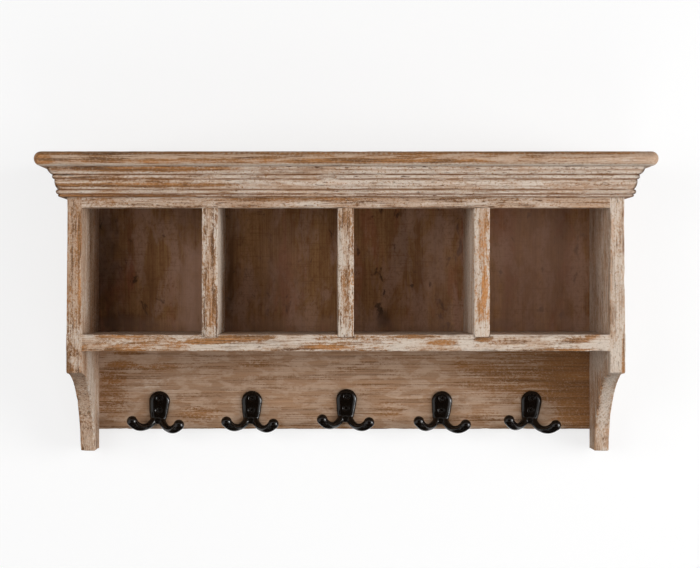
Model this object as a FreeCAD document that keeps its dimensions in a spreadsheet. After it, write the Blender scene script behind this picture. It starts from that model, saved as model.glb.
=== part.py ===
"""Wall shelf with four cubbies, a reeded crown and a rail of five double coat hooks.

The frame is +Z up and +X to the right, with the front facing -Y and the wall at y = 0. The origin is
on the wall, midway between the entry holes of the two keyhole hangers. Lengths are millimetres.
"""
import FreeCAD
import Part
import Sketcher
import math
import os
from types import SimpleNamespace

Vector = FreeCAD.Vector
Placement = FreeCAD.Placement
Rotation = FreeCAD.Rotation

doc = FreeCAD.newDocument("WallShelf")
sheet = doc.addObject("Spreadsheet::Sheet", "Sizes")

# Driving sizes: name, value in millimetres or degrees, what it measures
SIZES = [
    ("carcass_width", 624, "across the outsides of the two side boards"),
    ("carcass_depth", 145, "from the wall to the front of the boards"),
    ("side_thickness", 16, "side boards"),
    ("divider_thickness", 18, "upright dividers"),
    ("shelf_thickness", 19, "shelf under the cubbies"),
    ("frieze_thickness", 18, "board behind the crown"),
    ("frieze_height", 45, "from the top board down to the cubby mouths"),
    ("cubby_height", 142, "mouth of a cubby, shelf to frieze"),
    ("back_thickness", 12, "back panel and hook rail"),
    ("rabbet_width", 8, "step in the side boards that takes the back"),
    ("dado_depth", 3, "groove in the shelf that takes a divider"),
    ("bracket_drop", 122, "from the shelf's underside to the foot of the side boards"),
    ("bracket_shoulder", 25, "from the shelf's underside to where the side curves back"),
    ("shoulder_radius", 4, "rounded lower corner of the side's front"),
    ("rail_drop", 99, "from the shelf's underside to the bottom of the hook rail"),
    ("edge_ease", 1.5, "rounding of the boards' front edges"),
    ("top_thickness", 16, "top board"),
    ("top_overhang", 33, "top board past the side boards and past their front"),
    ("bullnose_share", 0.49, "radius of the top board's rounded edge, of its thickness"),
    ("reed_1_height", 8.0, "upper ovolo of the crown"),
    ("reed_1_top", 19.5, "how far its upper edge stands out from the carcass"),
    ("reed_1_foot", 15.0, "and its lower edge"),
    ("reed_1_bulge", 1.6, "rise of its arc over the straight line"),
    ("reed_2_height", 5.2, "bead under it"),
    ("reed_2_top", 13.0, "upper edge"),
    ("reed_2_foot", 12.6, "lower edge"),
    ("reed_2_bulge", 1.9, "rise of its arc"),
    ("reed_3_height", 11.2, "wide ovolo in the middle"),
    ("reed_3_top", 11.2, "upper edge"),
    ("reed_3_foot", 7.6, "lower edge"),
    ("reed_3_bulge", 1.7, "rise of its arc"),
    ("reed_4_height", 4.8, "first lower bead"),
    ("reed_4_top", 9.2, "upper edge"),
    ("reed_4_foot", 9.0, "lower edge"),
    ("reed_4_bulge", 1.8, "rise of its arc"),
    ("reed_5_height", 4.8, "second lower bead"),
    ("reed_5_top", 7.6, "upper edge"),
    ("reed_5_foot", 7.4, "lower edge"),
    ("reed_5_bulge", 1.8, "rise of its arc"),
    ("hanger_drop", 36, "keyhole entry below the top board"),
    ("hanger_spacing", 406.4, "between the two keyhole entries"),
    ("hanger_width", 20, "keyhole plate"),
    ("hanger_length", 50, "keyhole plate"),
    ("hanger_gauge", 2, "thickness of the keyhole plate"),
    ("hanger_foot", 21, "from the entry down to the plate's lower end"),
    ("entry_diameter", 9.5, "hole that a wall screw's head passes"),
    ("slot_width", 4.5, "slot that holds the wall screw's shank"),
    ("slot_rise", 10, "from the entry up to the slot's end"),
    ("hanger_pocket", 8, "depth behind the plate for the screw's head"),
    ("hanger_pocket_width", 11, "room across for the screw's head"),
    ("hanger_screw_inset", 6.5, "screw hole from the end of the plate"),
    ("hanger_screw_diameter", 3, "shank"),
    ("hanger_screw_head", 5.6, "head"),
    ("hanger_screw_length", 9, "overall"),
    ("plate_width", 24, "hook plate at its round top"),
    ("plate_foot_width", 17.5, "hook plate at its foot"),
    ("plate_height", 35, "hook plate"),
    ("plate_thickness", 4, "hook plate"),
    ("plate_edge", 1.8, "rounding of the plate's front edge"),
    ("plate_foot_radius", 5, "lower corners of the plate"),
    ("arm_root_drop", 30.5, "root of an arm below the plate's top"),
    ("arm_root_side", 3.6, "root of an arm beside the plate's middle"),
    ("arm_turn_angle", 40.6, "an arm's turn away from straight ahead, degrees"),
    ("arm_fall_radius", 23.5, "arc that falls from the plate to the valley"),
    ("arm_fall_angle", 66, "length of that arc, degrees"),
    ("arm_rise_radius", 18.8, "arc that rises from the valley to the ball"),
    ("arm_rise_angle", 55.5, "length of that arc, degrees"),
    ("arm_root_diameter", 8, "arm where it leaves the plate"),
    ("arm_valley_diameter", 7, "arm at its lowest point"),
    ("arm_neck_diameter", 10.6, "arm where it runs into the ball"),
    ("ball_diameter", 13, "ball at the arm's end"),
    ("hook_screw_upper", 8.7, "upper screw below the plate's top"),
    ("hook_screw_lower", 23, "lower screw below the plate's top"),
    ("hook_screw_diameter", 3.6, "shank"),
    ("hook_screw_head", 7.6, "head"),
    ("hook_screw_length", 13, "overall"),
    ("far_left_hook_x", -222, "middle of the plate's top"),
    ("far_left_hook_drop", 53, "plate's top below the shelf"),
    ("far_left_hook_tilt", 4.5, "clockwise from the front, degrees"),
    ("left_hook_x", -111, "as above"),
    ("left_hook_drop", 52.6, "as above"),
    ("left_hook_tilt", 2.5, "as above"),
    ("centre_hook_x", 3.4, "as above"),
    ("centre_hook_drop", 50.5, "as above"),
    ("centre_hook_tilt", 3.5, "as above"),
    ("right_hook_x", 118.6, "as above"),
    ("right_hook_drop", 53, "as above"),
    ("right_hook_tilt", 4, "as above"),
    ("far_right_hook_x", 227, "as above"),
    ("far_right_hook_drop", 52.8, "as above"),
    ("far_right_hook_tilt", 6, "as above"),
    ("dowel_diameter", 8, "beech dowels"),
    ("dowel_length", 30, "overall"),
    ("dowel_bevel", 1, "bevelled ends"),
    ("dowel_short_end", 10, "length in the thinner board"),
    ("dowel_inset", 35, "from a board's edge to a dowel or screw"),
    ("frieze_dowel_spread", 22, "between the two dowels at one end of the frieze"),
    ("nail_diameter", 1.8, "nails of the back panel and rail"),
    ("nail_head", 3.6, "head"),
    ("nail_head_height", 1, "head"),
    ("nail_length", 27, "overall"),
    ("nail_inset", 16, "from a board's edge to the nearest row of nails"),
    ("pin_diameter", 1.6, "headless pins of the crown"),
    ("pin_length", 22, "overall"),
    ("pin_cover", 2.5, "filler over a pin's head"),
    ("pin_rear", 30, "rear pin of a crown return, from the wall"),
    ("pin_front", 85, "front pin of a crown return, from the wall"),
    ("shelf_screw_diameter", 4, "screws up into the dividers"),
    ("shelf_screw_head", 8, "head"),
    ("shelf_screw_length", 40, "overall"),
    ("recess_reach", 0.3, "arm of a screw's cross recess, of its head"),
    ("recess_half", 0.08, "half the width of that arm, of the head"),
    ("recess_depth", 0.7, "depth of the recess, of the height of the head's cone"),
    ("hole_play", 0.2, "added to the diameter of a fastener's hole"),
    ("end_play", 0.5, "room past the end of a fastener"),
    ("seat_play", 0.2, "gap around a let-in plate"),
]
for row, (name, number, note) in enumerate(SIZES, 1):
    sheet.set(f"A{row}", name)
    sheet.set(f"B{row}", str(number))
    sheet.setAlias(f"B{row}", name)
    sheet.set(f"C{row}", note)
doc.recompute()


class Size:
    """A size as the formula that the document keeps and as its value now."""

    def __init__(self, text, value):
        self.text = text
        self.value = value

    def __neg__(self):
        return Size(f"-({self.text})", -self.value)

    def __add__(self, other):
        other = as_size(other)
        return Size(f"({self.text} + {other.text})", self.value + other.value)

    def __sub__(self, other):
        other = as_size(other)
        return Size(f"({self.text} - {other.text})", self.value - other.value)

    def __mul__(self, other):
        other = as_size(other)
        return Size(f"({self.text} * {other.text})", self.value * other.value)

    def __truediv__(self, other):
        other = as_size(other)
        return Size(f"({self.text} / {other.text})", self.value / other.value)


def as_size(number):
    return number if isinstance(number, Size) else Size(repr(number), number)


def cell(name):
    return Size(f"Sizes.{name}", float(sheet.get(name)))


def sine(angle):
    return Size(f"sin({angle.text} * 1 deg)", math.sin(math.radians(angle.value)))


def cosine(angle):
    return Size(f"cos({angle.text} * 1 deg)", math.cos(math.radians(angle.value)))


# The sheet's cells by name
sizes = SimpleNamespace(**{name: cell(name) for name, number, note in SIZES})

# Levels, from the keyhole entries up and down
top_under = sizes.hanger_drop
frieze_bottom = top_under - sizes.frieze_height
shelf_top = frieze_bottom - sizes.cubby_height
shelf_middle = shelf_top - sizes.shelf_thickness / 2
shelf_bottom = shelf_top - sizes.shelf_thickness
shoulder = shelf_bottom - sizes.bracket_shoulder
foot = shelf_bottom - sizes.bracket_drop
rail_bottom = shelf_bottom - sizes.rail_drop
divider_bottom = shelf_top - sizes.dado_depth

# Places across and forward
half_width = sizes.carcass_width / 2
inner_half = half_width - sizes.side_thickness
inner_width = inner_half * 2
back_half = inner_half + sizes.rabbet_width
divider_pitch = (inner_width + sizes.divider_thickness) / 4
divider_places = [-divider_pitch, as_size(0), divider_pitch]
cubby_places = [divider_pitch * step for step in (-1.5, -0.5, 0.5, 1.5)]
front_fixing = sizes.carcass_depth - sizes.dowel_inset
rear_fixing = sizes.back_thickness + sizes.dowel_inset
side_nail_x = inner_half + sizes.rabbet_width / 2
crown_reach = sizes.reed_1_top + sizes.reed_1_bulge

# Names of the hooks, from left to right
HOOKS = ["far_left", "left", "centre", "right", "far_right"]

nodes = []


def new_body(label):
    """An empty body that is written out under its label."""
    body = doc.addObject("PartDesign::Body", label)
    body.Label = label
    nodes.append(body)
    return body


def set_expressions(thing, **properties):
    """Bind properties to sizes; a double underline in a property's name stands for a dot."""
    for name, amount in properties.items():
        thing.setExpression(name.replace("__", "."), as_size(amount).text)


def new_sketch(body, name, role, level=None):
    """A sketch on an origin plane of the body, moved to a level along the plane's normal.

    XY_Plane has X and Y with the level up, XZ_Plane X and Z with the level forward from the wall,
    and YZ_Plane Y and Z with the level to the right.
    """
    plane = [item for item in body.Origin.OriginFeatures if item.Role == role][0]
    sketch = body.newObject("Sketcher::SketchObject", name)
    sketch.AttachmentSupport = (plane, [""])
    sketch.MapMode = "FlatFace"
    if level is not None:
        set_expressions(sketch, AttachmentOffset__Base__z=level)
    return sketch


def fix_point(sketch, item, end, x, y):
    """Fix a point of a sketch by its distances from the sketch's origin; a plain 0 is on the axis."""
    for kind, axis, distance in (("DistanceX", -2, x), ("DistanceY", -1, y)):
        if not isinstance(distance, Size):
            sketch.addConstraint(Sketcher.Constraint("PointOnObject", item, end, axis))
            continue
        rule = sketch.addConstraint(Sketcher.Constraint(kind, -1, 1, item, end, distance.value))
        sketch.setExpression(f"Constraints[{rule}]", distance.text)


def flat_point(corner):
    return Vector(as_size(corner[0]).value, as_size(corner[1]).value, 0)


def side_curve(start, end, radius):
    """A straight or round side. A round one bulges to the right of its way if radius is positive.

    It comes with the numbers that the sketch gives to its first and last point.
    """
    if radius is None:
        return Part.LineSegment(start, end), 1, 2
    middle = (start + end) / 2
    along = end - start
    across = Vector(-along.y, along.x, 0).normalize()
    reach = abs(radius.value)
    depth = math.sqrt(max(reach**2 - (along.Length / 2) ** 2, 0))
    outward = radius.value > 0
    centre = middle + across * (depth if outward else -depth)
    first, last = (start, end) if outward else (end, start)
    low = math.atan2(first.y - centre.y, first.x - centre.x)
    high = math.atan2(last.y - centre.y, last.x - centre.x)
    if high < low:
        high += 2 * math.pi
    circle = Part.Circle(centre, Vector(0, 0, 1), reach)
    ends = (1, 2) if outward else (2, 1)
    return Part.ArcOfCircle(circle, low, high), *ends


def trace(sketch, corners, closed=True):
    """Draw sides through corners (x, y) or (x, y, radius), the radius being of the side that follows.

    Closed outlines go round counterclockwise, so that a positive radius bulges outwards.
    """
    count = len(corners) if closed else len(corners) - 1
    sides = []
    for index in range(count):
        corner = corners[index]
        radius = corner[2] if len(corner) > 2 else None
        start = flat_point(corner)
        end = flat_point(corners[(index + 1) % len(corners)])
        curve, first, last = side_curve(start, end, radius)
        item = sketch.addGeometry(curve)
        sides.append((item, first, last))
        if radius is not None:
            reach = radius if radius.value > 0 else -radius
            rule = sketch.addConstraint(Sketcher.Constraint("Radius", item, reach.value))
            sketch.setExpression(f"Constraints[{rule}]", reach.text)
    for index, (item, first, last) in enumerate(sides):
        if closed or index + 1 < count:
            after, after_first, after_last = sides[(index + 1) % count]
            sketch.addConstraint(Sketcher.Constraint("Coincident", item, last, after, after_first))
        fix_point(sketch, item, first, *corners[index][:2])
    if not closed:
        item, first, last = sides[-1]
        fix_point(sketch, item, last, *corners[-1][:2])


def rectangle(left, bottom, right, top):
    return [(left, bottom), (right, bottom), (right, top), (left, top)]


def draw_circles(sketch, places, diameter):
    for x, y in places:
        centre = flat_point((x, y))
        item = sketch.addGeometry(Part.Circle(centre, Vector(0, 0, 1), diameter.value / 2))
        rule = sketch.addConstraint(Sketcher.Constraint("Diameter", item, diameter.value))
        sketch.setExpression(f"Constraints[{rule}]", diameter.text)
        fix_point(sketch, item, 3, x, y)


def pad(body, sketch, length, both_ways=False):
    feature = body.newObject("PartDesign::Pad", "Pad")
    feature.Profile = sketch
    feature.SideType = "Symmetric" if both_ways else "One side"
    set_expressions(feature, Length=length)
    return feature


def check_cut(body, feature, before):
    doc.recompute()
    if not feature.Shape.Volume < before:
        raise RuntimeError(f"{body.Label}: {feature.Label} cuts nothing")


def pocket(body, sketch, depth=None, along_normal=False):
    """Cut a sketch to a depth, with or against its plane's normal, or right through both ways."""
    doc.recompute()
    before = body.Tip.Shape.Volume
    feature = body.newObject("PartDesign::Pocket", "Pocket")
    feature.Profile = sketch
    if depth is None:
        feature.SideType = "Symmetric"
        feature.Type = "ThroughAll"
    else:
        feature.Reversed = along_normal
        set_expressions(feature, Length=depth)
    check_cut(body, feature, before)


def bore(body, name, role, level, places, diameter, depth=None, along_normal=False):
    """Round holes at places on a plane."""
    sketch = new_sketch(body, name, role, level)
    draw_circles(sketch, places, diameter)
    pocket(body, sketch, depth, along_normal)


def countersunk_holes(body, kind, role, level, places, along_normal=False):
    """Holes right through for a kind of screw, with a right-angled seat for the head."""
    diameter = cell(f"{kind}_diameter") + sizes.hole_play
    head = cell(f"{kind}_head")
    sketch = new_sketch(body, "ScrewHoles", role, level)
    draw_circles(sketch, places, diameter)
    doc.recompute()
    before = body.Tip.Shape.Volume
    hole = body.newObject("PartDesign::Hole", "Hole")
    hole.Profile = sketch
    doc.recompute()
    hole.ThreadType = "None"
    hole.DepthType = "ThroughAll"
    hole.HoleCutType = "Countersink"
    hole.HoleCutCountersinkAngle = 90
    hole.Reversed = along_normal
    set_expressions(hole, Diameter=diameter, HoleCutDiameter=head + sizes.hole_play)
    check_cut(body, hole, before)


def round_edges(body, name, radius, chosen):
    """Round the edges of the body for which chosen is true."""
    doc.recompute()
    base = body.Tip
    edges = [f"Edge{number}" for number, edge in enumerate(base.Shape.Edges, 1) if chosen(edge)]
    fillet = body.newObject("PartDesign::Fillet", name)
    fillet.Base = (base, edges)
    set_expressions(fillet, Radius=radius)
    doc.recompute()


def touches(edge, axis, level):
    """Does the whole edge lie at a level along an axis?"""
    box = edge.BoundBox
    low, high = {"x": (box.XMin, box.XMax), "y": (box.YMin, box.YMax), "z": (box.ZMin, box.ZMax)}[axis]
    return abs(low - level) < 1e-4 and abs(high - level) < 1e-4


def turned_piece(name, profile):
    """A round piece with its axis along +Y, from (radius, length) corners. It is a pattern to repeat."""
    body = doc.addObject("PartDesign::Body", name)
    sketch = new_sketch(body, "Profile", "XY_Plane")
    trace(sketch, profile)
    turn = body.newObject("PartDesign::Revolution", "Turn")
    turn.Profile = sketch
    turn.ReferenceAxis = (sketch, ["V_Axis"])
    turn.Angle = 360
    doc.recompute()
    return body


def screw(kind):
    """A countersunk screw of a kind, with a cross recess, its head's face at the origin."""
    shank = cell(f"{kind}_diameter")
    head = cell(f"{kind}_head")
    length = cell(f"{kind}_length")
    radius = shank / 2
    cone = (head - shank) / 2
    corners = [(0, 0), (head / 2, 0), (radius, cone), (radius, length - shank), (0, length)]
    body = turned_piece(f"{kind}_pattern", corners)
    sketch = new_sketch(body, "Recess", "XZ_Plane")
    reach = head * sizes.recess_reach
    half = head * sizes.recess_half
    quarter = [(half, -reach), (half, -half), (reach, -half)]
    turns = [lambda x, y: (x, y), lambda x, y: (-y, x), lambda x, y: (-x, -y), lambda x, y: (y, -x)]
    trace(sketch, [turn(*corner) for turn in turns for corner in quarter])
    pocket(body, sketch, cone * sizes.recess_depth)
    return body


def group(label, pattern, places):
    """One node of like pieces: the pattern set at each place."""
    node = doc.addObject("Part::Feature", label)
    node.Label = label
    solids = []
    for place in places:
        solid = pattern.Shape.copy()
        solid.Placement = place.multiply(solid.Placement)
        solids.append(solid)
    node.Shape = Part.makeCompound(solids)
    nodes.append(node)


# Turns that take +Y to the way a fastener is driven
DRIVEN = {
    "back": Rotation(),
    "front": Rotation(Vector(0, 0, 1), 180),
    "right": Rotation(Vector(0, 0, 1), -90),
    "left": Rotation(Vector(0, 0, 1), 90),
    "up": Rotation(Vector(1, 0, 0), 90),
}


def driven(x, forward, z, way):
    """A place x across, forward from the wall and z up, for a fastener driven the given way."""
    point = Vector(as_size(x).value, -as_size(forward).value, as_size(z).value)
    return Placement(point, DRIVEN[way])


def eased_profile(rear, forward, bottom, top, ease_top=False):
    """Section of a board that runs across, from its rear to its front; front edges are rounded."""
    ease = sizes.edge_ease
    corners = [(-rear, bottom), (-rear, top)]
    if ease_top:
        corners += [(ease - forward, top, ease), (-forward, top - ease)]
    else:
        corners += [(-forward, top)]
    corners += [(-forward, bottom + ease, ease), (ease - forward, bottom)]
    return corners


def cross_board(label, profile, length):
    """A board that runs across, from its section."""
    body = new_body(label)
    sketch = new_sketch(body, "Section", "YZ_Plane")
    trace(sketch, profile)
    pad(body, sketch, length, both_ways=True)
    return body


# Where fasteners go, used both for their holes and for the fasteners
dowel_hole = sizes.dowel_diameter + sizes.hole_play
dowel_long_end = sizes.dowel_length - sizes.dowel_short_end
short_hole = sizes.dowel_short_end + sizes.end_play
long_hole = dowel_long_end + sizes.end_play
nail_hole = sizes.nail_diameter + sizes.hole_play
nail_hole_depth = sizes.nail_length - sizes.back_thickness + sizes.end_play
pin_hole = sizes.pin_diameter + sizes.hole_play
shelf_dowel_points = [(forward, shelf_middle) for forward in (front_fixing, rear_fixing)]
frieze_middle = top_under - sizes.frieze_height / 2
frieze_dowel_points = [
    (sizes.carcass_depth - sizes.frieze_thickness / 2, frieze_middle + sizes.frieze_dowel_spread * half)
    for half in (-0.5, 0.5)
]
back_nail_rows = [
    top_under - sizes.nail_inset,
    (top_under + shelf_top) / 2,
    shelf_top + sizes.nail_inset,
]
rail_nail_rows = [shelf_bottom - sizes.nail_inset, rail_bottom + sizes.nail_inset]
shelf_nail_upper = shelf_middle + sizes.shelf_thickness / 4
shelf_nail_lower = shelf_middle - sizes.shelf_thickness / 4
nail_columns = [-side_nail_x, *divider_places, side_nail_x]
back_nail_points = [(across, z) for across in nail_columns for z in back_nail_rows]
back_nail_points += [(across, shelf_nail_upper) for across in cubby_places]
rail_nail_points = [(side_nail_x * hand, z) for hand in (-1, 1) for z in rail_nail_rows]
rail_nail_points += [(across, shelf_nail_lower) for across in cubby_places]
hanger_screw_levels = [
    sizes.hanger_screw_inset - sizes.hanger_foot,
    sizes.hanger_length - sizes.hanger_foot - sizes.hanger_screw_inset,
]
crown_seam = top_under - sizes.reed_1_height - sizes.reed_2_height - sizes.pin_diameter / 2
pin_start = sizes.reed_3_top - sizes.pin_cover
pin_grip = sizes.pin_length - pin_start + sizes.end_play
return_pins = [sizes.pin_rear, sizes.pin_front]


def side_board(label, hand):
    """A side board, hand -1 for the left and 1 for the right."""
    body = new_body(label)
    inner = inner_half * hand
    outer = half_width * hand
    front = -sizes.carcass_depth
    curve = shoulder - foot
    shoulder_end = front + sizes.shoulder_radius
    outline = new_sketch(body, "Outline", "YZ_Plane", inner if hand > 0 else outer)
    trace(
        outline,
        [
            (0, foot),
            (0, top_under),
            (front, top_under),
            (front, shoulder + sizes.shoulder_radius, sizes.shoulder_radius),
            (shoulder_end, shoulder, -curve),
            (shoulder_end + curve, foot),
        ],
    )
    pad(body, outline, sizes.side_thickness)

    def on_front_edge(edge):
        flat = touches(edge, "x", inner.value) or touches(edge, "x", outer.value)
        level = touches(edge, "z", top_under.value) or touches(edge, "z", foot.value)
        wall = touches(edge, "y", 0)
        return flat and not level and not wall and edge.BoundBox.YMin < front.value / 2

    round_edges(body, "EasedFront", sizes.edge_ease, on_front_edge)
    rabbet = new_sketch(body, "Rabbet", "XY_Plane")
    step = (inner, (inner_half + sizes.rabbet_width) * hand)
    left, right = step if hand > 0 else step[::-1]
    trace(rabbet, rectangle(left, -sizes.back_thickness, right, 0))
    pocket(body, rabbet)
    outward = hand > 0
    dowels = [(-forward, z) for forward, z in shelf_dowel_points + frieze_dowel_points]
    bore(body, "DowelHoles", "YZ_Plane", inner, dowels, dowel_hole, short_hole, outward)
    middle = (inner_half + sizes.side_thickness / 2) * hand
    upright = [(middle, -forward) for forward in (front_fixing, rear_fixing)]
    bore(body, "TopDowelHoles", "XY_Plane", top_under, upright, dowel_hole, long_hole)
    nails = [(side_nail_x * hand, z) for z in back_nail_rows + rail_nail_rows]
    bore(body, "NailHoles", "XZ_Plane", sizes.back_thickness, nails, nail_hole, nail_hole_depth, True)
    pins = [(-forward, crown_seam) for forward in return_pins]
    bore(body, "PinHoles", "YZ_Plane", outer, pins, pin_hole, pin_grip, not outward)


def divider_board(label, across):
    """An upright between two cubbies, notched for the frieze."""
    body = new_body(label)
    front = -sizes.carcass_depth
    rear = -sizes.back_thickness
    notch = front + sizes.frieze_thickness
    outline = new_sketch(body, "Outline", "YZ_Plane")
    trace(
        outline,
        [
            (rear, divider_bottom),
            (rear, top_under),
            (notch, top_under),
            (notch, frieze_bottom),
            (front, frieze_bottom),
            (front, divider_bottom),
        ],
    )
    pad(body, outline, sizes.divider_thickness, both_ways=True)

    def on_front_edge(edge):
        across_board = touches(edge, "z", frieze_bottom.value) or touches(edge, "z", divider_bottom.value)
        return touches(edge, "y", front.value) and not across_board

    round_edges(body, "EasedFront", sizes.edge_ease, on_front_edge)
    screws = [(0, -forward) for forward in (front_fixing, rear_fixing)]
    screw_grip = sizes.shelf_screw_length - sizes.shelf_thickness + sizes.dado_depth + sizes.end_play
    screw_hole = sizes.shelf_screw_diameter + sizes.hole_play
    bore(body, "ScrewHoles", "XY_Plane", divider_bottom, screws, screw_hole, screw_grip, True)
    nails = [(0, z) for z in back_nail_rows]
    bore(body, "NailHoles", "XZ_Plane", sizes.back_thickness, nails, nail_hole, nail_hole_depth, True)
    set_expressions(body, Placement__Base__x=across)


def shelf_board():
    """The shelf between the side boards, with a groove for each divider."""
    rear = sizes.back_thickness
    profile = eased_profile(rear, sizes.carcass_depth, shelf_bottom, shelf_top, ease_top=True)
    body = cross_board("shelf_board", profile, inner_width)
    grooves = new_sketch(body, "Dadoes", "XZ_Plane")
    half = sizes.divider_thickness / 2
    for across in divider_places:
        trace(grooves, rectangle(across - half, divider_bottom, across + half, shelf_top))
    pocket(body, grooves)
    dowels = [(-forward, z) for forward, z in shelf_dowel_points]
    for hand in (-1, 1):
        bore(body, "DowelHoles", "YZ_Plane", inner_half * hand, dowels, dowel_hole, long_hole, hand < 0)
    screws = [(across, -forward) for across in divider_places for forward in (front_fixing, rear_fixing)]
    countersunk_holes(body, "shelf_screw", "XY_Plane", shelf_bottom, screws, along_normal=True)
    nails = [(across, z) for across in cubby_places for z in (shelf_nail_upper, shelf_nail_lower)]
    bore(body, "NailHoles", "XZ_Plane", sizes.back_thickness, nails, nail_hole, nail_hole_depth, True)


def frieze_board():
    """The board over the cubby mouths that carries the crown."""
    rear = sizes.carcass_depth - sizes.frieze_thickness
    profile = eased_profile(rear, sizes.carcass_depth, frieze_bottom, top_under)
    body = cross_board("frieze_board", profile, inner_width)
    dowels = [(-forward, z) for forward, z in frieze_dowel_points]
    for hand in (-1, 1):
        bore(body, "DowelHoles", "YZ_Plane", inner_half * hand, dowels, dowel_hole, long_hole, hand < 0)
    pins = [(across, crown_seam) for across in cubby_places]
    bore(body, "PinHoles", "XZ_Plane", sizes.carcass_depth, pins, pin_hole, pin_grip)


def top_board():
    """The top, with a round nose along its front and both ends."""
    body = new_body("top_board")
    half = half_width + sizes.top_overhang
    front = -(sizes.carcass_depth + sizes.top_overhang)
    plan = new_sketch(body, "Plan", "XY_Plane", top_under)
    trace(plan, rectangle(-half, front, half, 0))
    pad(body, plan, sizes.top_thickness)

    def on_nose(edge):
        ends = touches(edge, "x", half.value) or touches(edge, "x", -half.value)
        upright = edge.BoundBox.ZLength > 1e-4
        return (ends or touches(edge, "y", front.value)) and not upright

    round_edges(body, "Bullnose", sizes.top_thickness * sizes.bullnose_share, on_nose)
    middle = inner_half + sizes.side_thickness / 2
    dowels = [(middle * hand, -forward) for hand in (-1, 1) for forward in (front_fixing, rear_fixing)]
    bore(body, "DowelHoles", "XY_Plane", top_under, dowels, dowel_hole, short_hole, True)


def crown_section(carcass, hand):
    """Section of the crown moulding: it stands out from the carcass face towards hand, -1 or 1."""
    corners = [(carcass, top_under)]
    level = top_under
    for number in range(1, 6):
        height = cell(f"reed_{number}_height")
        top = cell(f"reed_{number}_top")
        low = cell(f"reed_{number}_foot")
        bulge = cell(f"reed_{number}_bulge")
        chord_squared = height * height + (top - low) * (top - low)
        radius = chord_squared / (bulge * 8) + bulge / 2
        corners.append((carcass + top * hand, level, radius))
        level = level - height
        corners.append((carcass + low * hand, level))
    corners.append((carcass, level))
    if hand < 0:
        return corners
    turned = []
    for index in range(len(corners) - 1, -1, -1):
        before = corners[index - 1]
        turned.append((*corners[index][:2], *before[2:]))
    return turned


def crown_front():
    """The crown along the front, mitred at both ends."""
    body = new_body("crown_front")
    face = -sizes.carcass_depth
    section = new_sketch(body, "Section", "YZ_Plane")
    trace(section, crown_section(face, -1))
    pad(body, section, sizes.carcass_width + crown_reach * 2, both_ways=True)
    mitres = new_sketch(body, "Mitres", "XY_Plane")
    far = half_width + crown_reach
    trace(mitres, [(half_width, face), (far, face - crown_reach), (far, face)])
    trace(mitres, [(-half_width, face), (-far, face), (-far, face - crown_reach)])
    pocket(body, mitres)
    pins = [(across, crown_seam) for across in cubby_places]
    bore(body, "PinHoles", "XZ_Plane", sizes.carcass_depth, pins, pin_hole, pin_start, True)


def crown_return(label, hand):
    """The crown along one side, mitred at the front corner and square at the wall."""
    body = new_body(label)
    face = half_width * hand
    front = -sizes.carcass_depth
    section = new_sketch(body, "Section", "XZ_Plane")
    trace(section, crown_section(face, hand))
    pad(body, section, sizes.carcass_depth + crown_reach)
    mitre = new_sketch(body, "Mitre", "XY_Plane")
    corner = (face + crown_reach * hand, front - crown_reach)
    inside = (face, front - crown_reach)
    trace(mitre, [(face, front), inside, corner] if hand > 0 else [(face, front), corner, inside])
    pocket(body, mitre)
    pins = [(-forward, crown_seam) for forward in return_pins]
    bore(body, "PinHoles", "YZ_Plane", face, pins, pin_hole, pin_start, hand > 0)


def hanger_outline(slack):
    """The end radius of a keyhole plate, grown by a slack, and the heights of its end centres."""
    radius = sizes.hanger_width / 2 + slack
    low = sizes.hanger_width / 2 - sizes.hanger_foot
    high = sizes.hanger_length - sizes.hanger_foot - sizes.hanger_width / 2
    return radius, low, high


def oblong(across, radius, low, high):
    """An upright outline with round ends about the heights low and high."""
    return [
        (across - radius, low, radius),
        (across, low - radius, radius),
        (across + radius, low),
        (across + radius, high, radius),
        (across, high + radius, radius),
        (across - radius, high),
    ]


def back_holes(body, points):
    """Nail holes through a board at the wall, with a seat for each head."""
    bore(body, "NailHoles", "XZ_Plane", None, points, nail_hole)
    seat = sizes.nail_head + sizes.hole_play
    bore(body, "NailSeats", "XZ_Plane", None, points, seat, sizes.nail_head_height, True)


def back_panel():
    """The panel behind the cubbies, with the hangers let into its rear."""
    body = new_body("back_panel")
    outline = new_sketch(body, "Outline", "XZ_Plane")
    trace(outline, rectangle(-back_half, shelf_middle, back_half, top_under))
    pad(body, outline, sizes.back_thickness)
    recess = new_sketch(body, "HangerRecesses", "XZ_Plane")
    pockets = new_sketch(body, "HeadPockets", "XZ_Plane")
    head_room = sizes.hanger_pocket_width / 2
    for hand in (-0.5, 0.5):
        across = sizes.hanger_spacing * hand
        trace(recess, oblong(across, *hanger_outline(sizes.seat_play)))
        trace(pockets, oblong(across, head_room, as_size(0), sizes.slot_rise))
    pocket(body, recess, sizes.hanger_gauge, True)
    pocket(body, pockets, sizes.hanger_pocket, True)
    screws = [(sizes.hanger_spacing * hand, z) for hand in (-0.5, 0.5) for z in hanger_screw_levels]
    screw_hole = sizes.hanger_screw_diameter + sizes.hole_play
    screw_depth = sizes.hanger_screw_length + sizes.end_play
    bore(body, "ScrewHoles", "XZ_Plane", None, screws, screw_hole, screw_depth, True)
    back_holes(body, back_nail_points)


def hook_place(side):
    """Where a hook's plate top is: across, up and its tilt."""
    return cell(f"{side}_hook_x"), shelf_bottom - cell(f"{side}_hook_drop"), cell(f"{side}_hook_tilt")


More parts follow.
